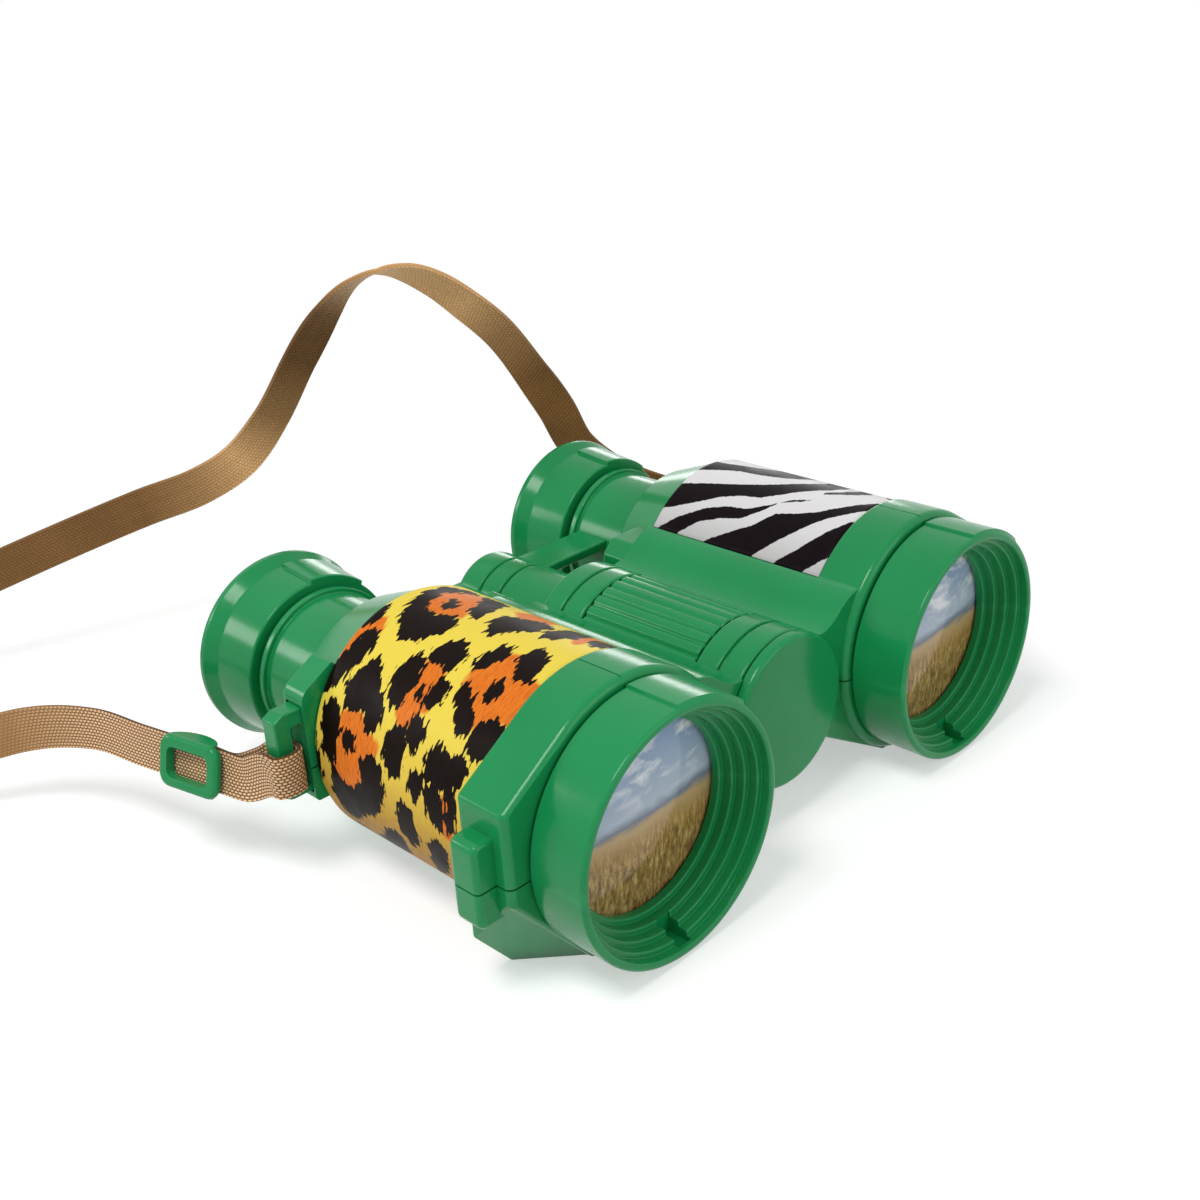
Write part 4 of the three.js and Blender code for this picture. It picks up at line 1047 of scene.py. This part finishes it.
def add_wheel(material):
    turns = np.linspace(0, 2 * math.pi, RIBS * 14, endpoint=False)
    valley = np.exp(-(((turns * RIBS / (2 * math.pi)) % 1 - 0.5) / RIB_SOFT) ** 2)
    reach = COLUMN_R - RIB_DEPTH * valley
    outline = list(zip(reach * np.cos(turns), reach * np.sin(turns)))
    wheel = prism("wheel", outline, Y_WHEEL, Y_WHEEL_END, WHEEL_EDGE)
    combine(wheel, [rod(SPINDLE_R + FIT, 0, Y_TUBE)], "DIFFERENCE")
    settle(wheel, "focus_wheel_ribbed", "focus_wheel", material)


def add_column(material):
    add_cap(material)
    end = Y_WHEEL - FIT
    socket = CAP_SPIGOT_R + FIT
    bearing = [(BEARING_R, end), (BEARING_R, end - BEARING_LENGTH)]
    bore = [*bearing, (socket, end - BEARING_LENGTH), (socket, Y_FRONT_SLEEVE)]
    add_sleeve("front_sleeve", Y_FRONT_SLEEVE, bore, 0.45, material)
    bore = [(HUB_R + RUN, Y_REAR_SLEEVE + 2 * BAND), (HUB_R + RUN, Y_REAR_SLEEVE)]
    add_sleeve("rear_sleeve", Y_REAR_SLEEVE, bore, 0.5, material)
    add_wheel(material)
    add_bridge(material)


def add_bridge(material):
    back = Y_TUBE - FLANGE_LENGTH - FIT
    end = back - HUB_DOME / 2
    bore_end = Y_HUB + SPINDLE_IN_HUB + HUB_INSET + FIT
    section = [(BEARING_R, bore_end), (BEARING_R, Y_HUB), (HUB_R, Y_HUB)]
    for setback in HUB_GROOVES:
        section += groove(HUB_R, end - setback)
    section += [(HUB_R, end), (HUB_R - HUB_DOME, end + HUB_DOME), (0, end + HUB_DOME), (0, bore_end)]
    hub = lathe("hub", section, edge=[0, 0, 0.3, *GROOVE_CORNERS * 2, 1.2, 0.9, 0, 0])
    low = ARM_TOP - ARM_THICK
    outline = fillet([(-AXIS_X, low), (AXIS_X, low), (AXIS_X, ARM_TOP), (-AXIS_X, ARM_TOP)], ARM_CORNER)
    arms = prism("arms", outline, back - ARM_LENGTH, back, ARM_EDGE)
    tubes = [rod(TUBE_R + FIT, Y_NECK, Y_TUBE, side * AXIS_X) for side in (-1, 1)]
    combine(arms, [*tubes, rod(HUB_R / 2, Y_HUB, Y_TUBE)], "DIFFERENCE")
    settle(combine(hub, [arms], "UNION"), "eyepiece_bridge_arm", "eyepiece_bridge", material)


# Strap fittings
LUG_THICK = 3.2
LUG_TOP = 8.9
LUG_LOW = 5.3
LUG_SLOT = 2.1
LUG_BAR = 2.6
LUG_ROOT = 2.2
LUG_ARM = 2.4  # height of the upper rail
LUG_FOOT = 1  # height of the lower rail
LUG_BEVEL = (1.6, 0.9)  # of its outer top corner, across and down
LUG_LEAD = 0.2  # of the lug ahead of the pad's middle
LUG_CORNERS = (0.2, 0.4, 0.4, 1.6, 0.2)
LUG_SLOT_CORNER = 0.4
LUG_EDGE = 0.3
Y_LUG = Y_SHOULDER + PAD_LENGTH / 2 - LUG_LEAD
BUCKLE_PLACE = (-64.6, 27.06, 16.55)  # in the model's frame
BUCKLE_HEADING = 102.4  # degrees about +Z
BUCKLE_TURN = 15  # degrees about the strap
BUCKLE_LENGTH = 12.3
BUCKLE_BAR = 1.8
BUCKLE_THICK = 1.6
BUCKLE_CORNER = 2.2
BUCKLE_EDGE = 0.7
BUCKLE_CORE = 1.2  # width of the middle bar
BUCKLE_CORE_THICK = 0.7
BUCKLE_POST = 0.45  # height of the rails past the strap's edges
TAB_HALF = 4.8  # half a tab's width at the frame
SHY = (0.05, 0.02)  # how far the bar and the tabs stay inside the frame's rails


def add_lug(name, side, material):
    inside, outside = PAD_REACH - LUG_ROOT, PAD_REACH + LUG_SLOT + LUG_BAR
    bevel = [(outside - LUG_BEVEL[0], LUG_TOP), (outside, LUG_TOP - LUG_BEVEL[1])]
    corners = [(inside, LUG_TOP), *bevel, (outside, -LUG_LOW), (inside, -LUG_LOW)]
    line = about_axis(fillet(corners, LUG_CORNERS, 4), side)
    made = prism("lug", line, Y_LUG - LUG_THICK / 2, Y_LUG + LUG_THICK / 2, LUG_EDGE)
    low, top = LUG_FOOT - LUG_LOW, LUG_TOP - LUG_ARM
    slot_end = PAD_REACH + LUG_SLOT
    slot = [(PAD_REACH, top), (slot_end, top), (slot_end, low), (PAD_REACH, low)]
    slot = fillet(slot, LUG_SLOT_CORNER, 3)
    combine(made, [prism("tool", about_axis(slot, side), Y_SHOULDER, Y_NECK)], "DIFFERENCE")
    settle(made, f"{name}_strap_loop", f"{name}_strap_lug", material)


def rectangle(half_x, half_z, corner, steps=6):
    corners = [(half_x, half_z), (-half_x, half_z), (-half_x, -half_z), (half_x, -half_z)]
    return fillet(corners, corner, steps)


def add_buckle(material):
    """Slide: a rounded frame before the strap, and a middle bar behind it between two rounded tabs."""
    clear = STRAP_THICK / 2 + RUN
    edge = (STRAP_WIDTH - STRAP_GATHER) / 2 + RUN
    top, half = edge + BUCKLE_POST, BUCKLE_LENGTH / 2
    made = prism("buckle", rectangle(half, top, BUCKLE_CORNER), clear, clear + BUCKLE_THICK, BUCKLE_EDGE, 5)
    window = rectangle(half - BUCKLE_BAR, top - BUCKLE_BAR, BUCKLE_CORNER / 2)
    combine(made, [prism("tool", window, 0, half)], "DIFFERENCE")
    back = -clear - BUCKLE_CORE_THICK
    bar = rectangle(BUCKLE_CORE / 2, top - SHY[0], 0.25, 3)
    pieces = [prism("bar", bar, back, -clear, 0.2)]
    root = clear + BUCKLE_THICK / 2
    tab = [(TAB_HALF * u, (root - back) * v - root) for u, v in arc(1, 0, math.pi, 24)]
    for side in (-1, 1):
        ends = sorted((side * edge, side * (top - SHY[1])))
        pieces.append(prism("tab", tab, *ends, 0.1))
        pieces[-1].data.transform(Matrix.Rotation(math.pi / 2, 4, "X"))
    combine(made, pieces, "UNION")
    heading = Matrix.Rotation(math.radians(BUCKLE_HEADING), 4, "Z")
    turned = heading @ Matrix.Rotation(math.radians(BUCKLE_TURN), 4, "X")
    place = Matrix.Translation(BUCKLE_PLACE) @ turned
    settle(made, "slide_buckle_frame", "slide_buckle", material, local=place)


# Printed wraps: markings as outlines on the flattened sheet, in millimetres round the barrel and along it
SHEET_START = math.radians(-60)  # about the barrel, where the sheet's first measure is 0
WRAP_GRID = (172, 91)  # points round the barrel and along it
WRAP_END_EASE = 0.12
WRAP_SIDE_EASE = 0.15
LEOPARD_SPOTS = [
    [(11.5, 50.8), (13, 51.8), (17, 52.3), (20, 51.3), (21.2, 50.4), (19, 48), (20, 45.5), (22, 44),
     (25, 44), (26.5, 42), (25.5, 39.5), (22, 39), (18.5, 40.5), (16.5, 43), (15, 46), (12.5, 49)],
    [(22.3, 51.5), (23.5, 52.8), (27, 53.6), (30.5, 53.7), (31.8, 52), (30.5, 50.5), (28, 49.8),
     (25, 50.2), (22.8, 50.4)],
    [(25.2, 47.5), (26.5, 48.5), (28.5, 47.8), (27.8, 46.3), (26, 46)],
    [(31.5, 49.5), (34, 50.5), (36, 50.2), (38, 48.8), (39.8, 47.5), (38.5, 46), (36.5, 45.2), (35, 43),
     (33, 41.6), (30.5, 42), (29.5, 43.3), (32, 45.5), (31.8, 47.5)],
    [(32.2, 57), (32.6, 54.3), (35, 52.5), (38, 50.8), (40.5, 50.3), (43, 51), (43.8, 52.5), (41, 53.8),
     (37.5, 54.6), (36.5, 57)],
    [(43.5, 57), (43.8, 54.2), (46, 53.5), (48.5, 54.5), (48, 57)],
    [(44, 46.5), (45.5, 48.5), (47.5, 50.5), (51, 52), (55, 53.2), (59, 53.4), (62, 51.5), (61.5, 49),
     (59, 50.5), (56, 51.2), (52.5, 50.3), (50.3, 48.5), (50.5, 45), (51.5, 42.8), (50, 41), (47.5, 41.5),
     (45, 43.5)],
    [(52.5, 46), (53.8, 47.8), (55.5, 48), (55.3, 46.3), (53.5, 45.5)],
    [(53, 40), (54, 42.5), (57, 43.8), (59.5, 45.5), (62, 47.5), (63.2, 45), (61.5, 42.5), (57.5, 41)],
    [(34.2, 40.5), (36, 42), (39, 43), (41.5, 42.3), (43, 40.8), (42, 38.9), (39, 38.5), (36, 38.8)],
    [(25.2, 37.5), (27, 38.8), (30.5, 39.5), (32.5, 37.5), (31.5, 35.8), (28.5, 35.2), (26.3, 35.3)],
    [(30, 33.5), (32, 35.8), (34.8, 35.5), (34.8, 33.5), (33, 32.2)],
    [(37, 36.6), (38, 37), (39, 36.6), (38, 36.2)],
    [(36.6, 34.5), (38.5, 35.4), (41.2, 34.3), (40.5, 32.3), (38, 32.2)],
    [(42.7, 38.8), (44.5, 39.6), (46.5, 38.5), (47.6, 36), (46, 34.3), (43, 33.8), (42.2, 35),
     (43.2, 36.5)],
    [(23.6, 32.2), (25.5, 33.6), (27.5, 32.5), (27.8, 31), (25.8, 30.4)],
    [(14.2, 35), (16.5, 36), (19.5, 36.4), (22, 34.8), (21, 33), (17.5, 32.6), (15.5, 33.4)],
    [(50.7, 34.5), (53, 37), (56.5, 37.6), (58.5, 35), (60, 32.5), (59, 30.2), (55.5, 30.6),
     (53.5, 32.8)],
    [(44.2, 30.8), (46.5, 31.4), (49.5, 30.3), (50.3, 28.5), (48, 28.1), (45.5, 29.2)],
    [(37.5, 28.5), (40, 30.2), (41.8, 30), (41, 28), (38.8, 26.8), (38, 25.5), (36, 25), (34.8, 27),
     (36.5, 27.8)],
    [(27.5, 30), (30.5, 30.5), (33, 29), (31.5, 27), (32.5, 24.5), (31, 22.5), (28.5, 23.5), (27, 25.5),
     (27.5, 28)],
    [(20.8, 26.5), (22, 28.8), (25.5, 29.6), (27.5, 28.5), (26, 26.5), (23, 25.8)],
    [(20.8, 24.5), (24, 25), (27, 25.5), (28, 24), (23, 23.5)],
    [(32.6, 22), (34, 24), (37, 24), (38.9, 22.2), (38.2, 19.6), (35, 19.4)],
    [(40.6, 25), (42.5, 26), (44.5, 25.2), (43.5, 24), (41.5, 24)],
    [(45.2, 23.2), (47, 24.5), (49.5, 26), (52, 25), (51.2, 22.8), (49, 21.8), (46, 21.2)],
    [(55, 28), (57, 28.8), (62, 29), (65, 27.5), (62, 26), (58.5, 25), (56, 26)],
    [(58, 21.5), (59.5, 23.3), (62.5, 23.5), (64, 22), (61.5, 20.5), (59, 20.3)],
    [(17.8, 56.8), (18.2, 54.8), (21.5, 54.3), (25.5, 55.3), (25, 56.8)],
    [(7.5, 45), (9, 46.5), (11, 43.5), (14, 41), (15, 38.5), (13.5, 37.3), (10, 38.5), (8.5, 41)],
    [(8.5, 33), (11, 31.5), (14, 31), (17, 30), (18.5, 28), (17.5, 26.5), (14, 27.5), (10.5, 30)],
    [(2.5, 51), (5, 53.5), (8.5, 53), (9.2, 50.5), (7, 48.8), (4, 49)],
    [(10.5, 22.5), (13, 24.5), (16.5, 23.5), (17, 21), (13.5, 20)],
    [(2, 40), (4.5, 42), (6, 39), (4.8, 36), (2.5, 36.8)],
    [(2, 28), (4.5, 30.5), (7, 28.5), (6, 25.5), (3, 24.8)],
    [(64.5, 40), (67, 41.5), (69.5, 39.5), (68.5, 36), (65.5, 36.5)],
    [(65, 53), (67.5, 54), (69.8, 52), (68.5, 48.5), (66, 49.5)],
    [(66, 33), (68, 33.5), (69.5, 31.5), (67.5, 30)],
    [(66.5, 24), (69, 25.5), (70, 22), (67.5, 20.5)],
]
LEOPARD_WARM = [
    [(18.8, 48), (20, 50.3), (22.5, 50.6), (25, 49.8), (30, 50), (32, 48), (31.5, 45.5), (29.5, 43.2),
     (28.5, 41), (26.5, 41.5), (25, 44), (21, 44.2), (19.5, 45.8)],
    [(35.5, 57), (36.5, 54), (41, 52.6), (43.5, 51), (46, 52.4), (44.5, 57)],
    [(50.5, 45), (50.5, 48.5), (52.5, 50.3), (57, 51.5), (60, 49.5), (60.5, 46.5), (59, 45), (55, 43),
     (52, 41.8)],
    [(32, 37.5), (34.5, 38.9), (42.5, 39), (43.3, 37), (42.3, 34.8), (36, 34), (34.8, 35.3), (32.3, 36)],
    [(58, 36), (60, 38.5), (63.5, 38), (63, 33), (60, 32)],
    [(36.3, 25), (38.8, 27), (41.5, 30.3), (44.3, 30.4), (46, 29), (48.5, 28), (49.5, 25.8), (46.8, 24.6),
     (45.2, 23), (46.2, 21), (45.5, 19), (39, 19), (38.8, 22), (37, 24)],
    [(20, 24.3), (21, 26.3), (26, 26.2), (27.2, 24.6), (24, 23.6)],
    [(57, 23.2), (58.5, 25.3), (63, 26), (64, 23.5), (61, 22.5)],
    [(3, 36), (5.5, 41), (9, 39), (8, 35)],
]
ZEBRA_STRIPES = [
    [(51.3, 57), (56.8, 57), (54.5, 52.5), (52.5, 48), (52, 44), (50.5, 39.5), (48.5, 37.2), (46, 36.5),
     (43.5, 37), (40, 39.5), (35, 41), (30, 40.5), (34, 43.5), (40, 44.6), (44, 44.6), (46.5, 44.8),
     (48.3, 47), (50.3, 52)],
    [(61, 57), (67, 57), (65.5, 53), (63, 48.5), (61, 45.5), (59.5, 42), (58.8, 38.5), (56.5, 35.5),
     (53.5, 32.5), (50.5, 29.5), (48, 28.6), (44.5, 29), (40, 31.5), (35, 33), (28, 32.5), (22, 30.5),
     (28, 35), (35, 36), (41, 35.2), (44.5, 33.8), (47.5, 33), (50, 34.5), (53, 37.5), (55, 40.5),
     (57, 45), (58.8, 50.5)],
    [(71, 55), (71, 50.5), (67, 46.5), (65.2, 42.5), (64.3, 39), (61.5, 36), (58.8, 34.4), (57, 31),
     (55.6, 29.2), (57, 32.5), (59.8, 35.6), (62, 39), (62.6, 43), (64, 46.5), (67, 50.8)],
    [(71, 45), (67.5, 39.8), (64.8, 35.8), (61.3, 33.2), (60, 29.5), (58.5, 26.5), (55.5, 23.5),
     (51, 19.5), (50, 17), (53, 17), (55, 19.5), (60, 24.5), (65, 28.5), (71, 33.8)],
    [(58.5, 19.5), (57, 17), (65, 17), (66.8, 19.3), (71, 23.2), (71, 29.2), (66.5, 25), (62, 22)],
    [(44, 25.2), (47, 23.8), (49.5, 24.8), (51.5, 27), (53, 29.2), (52.3, 29.6), (50, 27.6), (47.5, 26.6),
     (44.5, 27), (40, 28.6), (36, 28.6), (40, 26.6)],
    [(36, 57), (47.5, 57), (47.8, 55.2), (44, 53.8), (38, 52.8), (31, 50.5), (24, 49.5), (30, 53)],
    [(0, 57), (20, 57), (28, 56), (22, 54), (12, 53.5), (0, 51)],
    [(0, 46.5), (10, 48.5), (20, 47.6), (30, 48.5), (40, 50), (36, 47), (28, 45.2), (19, 44.5), (9, 45),
     (0, 42.5)],
    [(0, 38.5), (8, 41), (18, 41.2), (27, 41.8), (22, 38.5), (14, 37), (6, 36.5), (0, 34.5)],
    [(0, 30), (7, 32.5), (15, 32.8), (19, 32), (13, 29.2), (6, 28), (0, 26)],
    [(0, 22), (8, 25), (18, 26.5), (28, 28.8), (33, 28), (25, 24.8), (15, 22), (6, 20.5), (0, 18)],
    [(14, 17), (22, 20.5), (32, 23.6), (41, 24), (46, 21.5), (49, 17), (44, 17), (40, 20), (33, 19.8),
     (26, 17)],
]


def outline_distance(points, outlines):
    """Distance of each point from the nearest outline, negative inside one."""
    nearest = np.full(len(points), np.inf)
    for outline in outlines:
        corners = np.array(outline, float)
        inside = np.zeros(len(points), bool)
        gap = np.full(len(points), np.inf)
        for a, b in zip(corners, np.roll(corners, -1, 0)):
            run = b - a
            t = np.clip((points - a) @ run / (run @ run), 0, 1)
            gap = np.minimum(gap, np.linalg.norm(points - a - t[:, None] * run, axis=1))
            spans = (a[1] > points[:, 1]) != (b[1] > points[:, 1])
            height = np.where(abs(run[1]) > 1e-9, run[1], 1e-9)
            inside ^= spans & (points[:, 0] < a[0] + (points[:, 1] - a[1]) * run[0] / height)
        nearest = np.minimum(nearest, np.where(inside, -gap, gap))
    return nearest


def add_wrap(name, side, markings, material):
    start, end = (math.radians(v) for v in WRAP_EDGES)
    turns = np.linspace(start, end, WRAP_GRID[0])
    there_and_back = np.concatenate([turns, turns[::-1]])
    ys = np.linspace(Y_WRAP + FIT, Y_SHOULDER - FIT, WRAP_GRID[1])
    inner = np.full(len(turns), WRAP_R - WRAP_THICK)
    rings = []
    for y in ys:
        outer = np.full(len(turns), WRAP_R - (WRAP_END_EASE if y in (ys[0], ys[-1]) else 0))
        outer[[0, -1]] = WRAP_R - WRAP_SIDE_EASE
        reach = np.concatenate([outer, inner])
        section = zip(reach * np.cos(there_and_back), reach * np.sin(there_and_back))
        rings.append([(x, y, z) for x, z in about_axis(section, side)])
    obj = loft("wrap", rings)
    across, along = (v.ravel() for v in np.meshgrid((there_and_back - SHEET_START) * WRAP_R, ys))
    sheet = np.stack([across, along], 1)
    distances = {key: outline_distance(sheet, outlines) for key, outlines in markings.items()}
    store(obj, {"across": across, "along": along, **distances})
    settle(obj, f"{name}_printed_wrap", f"{name}_wrap", material, sharp=50)


# Stage and light, in metres
FLOOR_REACH = 12
SHADOW_MIDDLE = (-0.01, 0.0, 0.0)
SHADOW_FADE = (0.10, 0.20)  # from there, where the shown floor passes into plain white
WORLD_LIGHT = 0.36
LAMP_TARGET = (0, 0, 0.02)


def showing_rays(tree):
    """1 for the rays that show the white surround: of the camera, of reflections and through glass."""
    rays = put(tree, "LightPath").outputs
    mirrored = maths(tree, "MAXIMUM", rays["Is Glossy Ray"], rays["Is Transmission Ray"])
    return maths(tree, "MAXIMUM", rays["Is Camera Ray"], mirrored)


def add_floor():
    """Pale floor that keeps the object's shadow."""
    corners = [(-FLOOR_REACH, -FLOOR_REACH), (FLOOR_REACH, -FLOOR_REACH)]
    corners += [(-x, -y) for x, y in corners]
    floor = body_from("floor", [(x, y, 0) for x, y in corners], [(0, 1, 2, 3)])
    material, tree, shader = blank("floor_paper")
    fill(tree, shader, {"Base Color": (0.8, 0.8, 0.8, 1), "Roughness": 0.9, "Specular IOR Level": 0})
    lit = put(tree, "BsdfDiffuse", {"Color": (0.72, 0.72, 0.72, 1)})
    base = put(tree, "Emission", {"Color": WHITE, "Strength": 0.48})
    paper = put(tree, "AddShader", {0: lit.outputs[0], 1: base.outputs[0]})
    glow = put(tree, "Emission", {"Color": WHITE, "Strength": 1.0})
    place = put(tree, "NewGeometry").outputs["Position"]
    away = put(tree, "VectorMath", {0: place, 1: SHADOW_MIDDLE}, operation="DISTANCE").outputs["Value"]
    fade = between(tree, away, *SHADOW_FADE, interpolation_type="SMOOTHSTEP")
    near = put(tree, "MixShader", {0: fade, 1: paper.outputs[0], 2: glow.outputs[0]})
    shown = put(tree, "MixShader", {0: showing_rays(tree), 1: shader.outputs[0], 2: near.outputs[0]})
    tree.links.new(shown.outputs[0], tree.nodes["Material Output"].inputs["Surface"])
    floor.data.materials.append(material)


def add_world():
    """Plain white surround, with less light for the object."""
    world = bpy.data.worlds.new("studio")
    scene.world = world
    world.use_nodes = True
    tree = world.node_tree
    strength = between(tree, showing_rays(tree), 0.0, 1.0, WORLD_LIGHT, 1.0)
    fill(tree, tree.nodes["Background"], {"Color": WHITE, "Strength": strength})


def add_lamp(name, place, size, power):
    data = bpy.data.lights.new(name, "AREA")
    data.shape = "RECTANGLE"
    data.size, data.size_y = size
    data.energy = power
    lamp = bpy.data.objects.new(name, data)
    aim = (Vector(LAMP_TARGET) - Vector(place)).to_track_quat("-Z", "Y")
    lamp.matrix_world = Matrix.Translation(place) @ aim.to_matrix().to_4x4()
    scene.collection.objects.link(lamp)


add_camera()
plastic = plastic_material()
add_buckle(plastic)
add_strap(webbing_material())
add_housing(plastic)
steel = steel_material()
add_screws(steel)
picture = picture_lens_material()
clear = eye_lens_material()
for name, side in (("left", -1), ("right", 1)):
    x = side * AXIS_X
    add_bezel(name, x, plastic)
    add_lens(name, x, picture)
    add_retainer(name, x, plastic)
    add_tube(name, x, plastic)
    add_eye_lens(name, x, clear)
    add_eyecup(name, x, plastic)
    add_lug(name, side, plastic)
add_column(plastic)
frame["nodes"]["focus_spindle"].data.materials.clear()
frame["nodes"]["focus_spindle"].data.materials.append(steel)
add_wrap("left", -1, {"spot": LEOPARD_SPOTS, "warm": LEOPARD_WARM}, leopard_material())
add_wrap("right", 1, {"spot": ZEBRA_STRIPES}, zebra_material())
add_floor()
add_world()
add_lamp("key", (-0.28, -0.05, 0.55), (0.22, 0.18), 1.75)
add_lamp("front", (0.15, -0.55, 0.30), (0.4, 0.3), 0.7)
add_lamp("rear", (-0.42, 0.48, 0.26), (0.2, 0.14), 0.7)
add_lamp("right", (0.55, 0.48, 0.12), (0.35, 0.12), 0.5)
scene.view_settings.view_transform = "Standard"
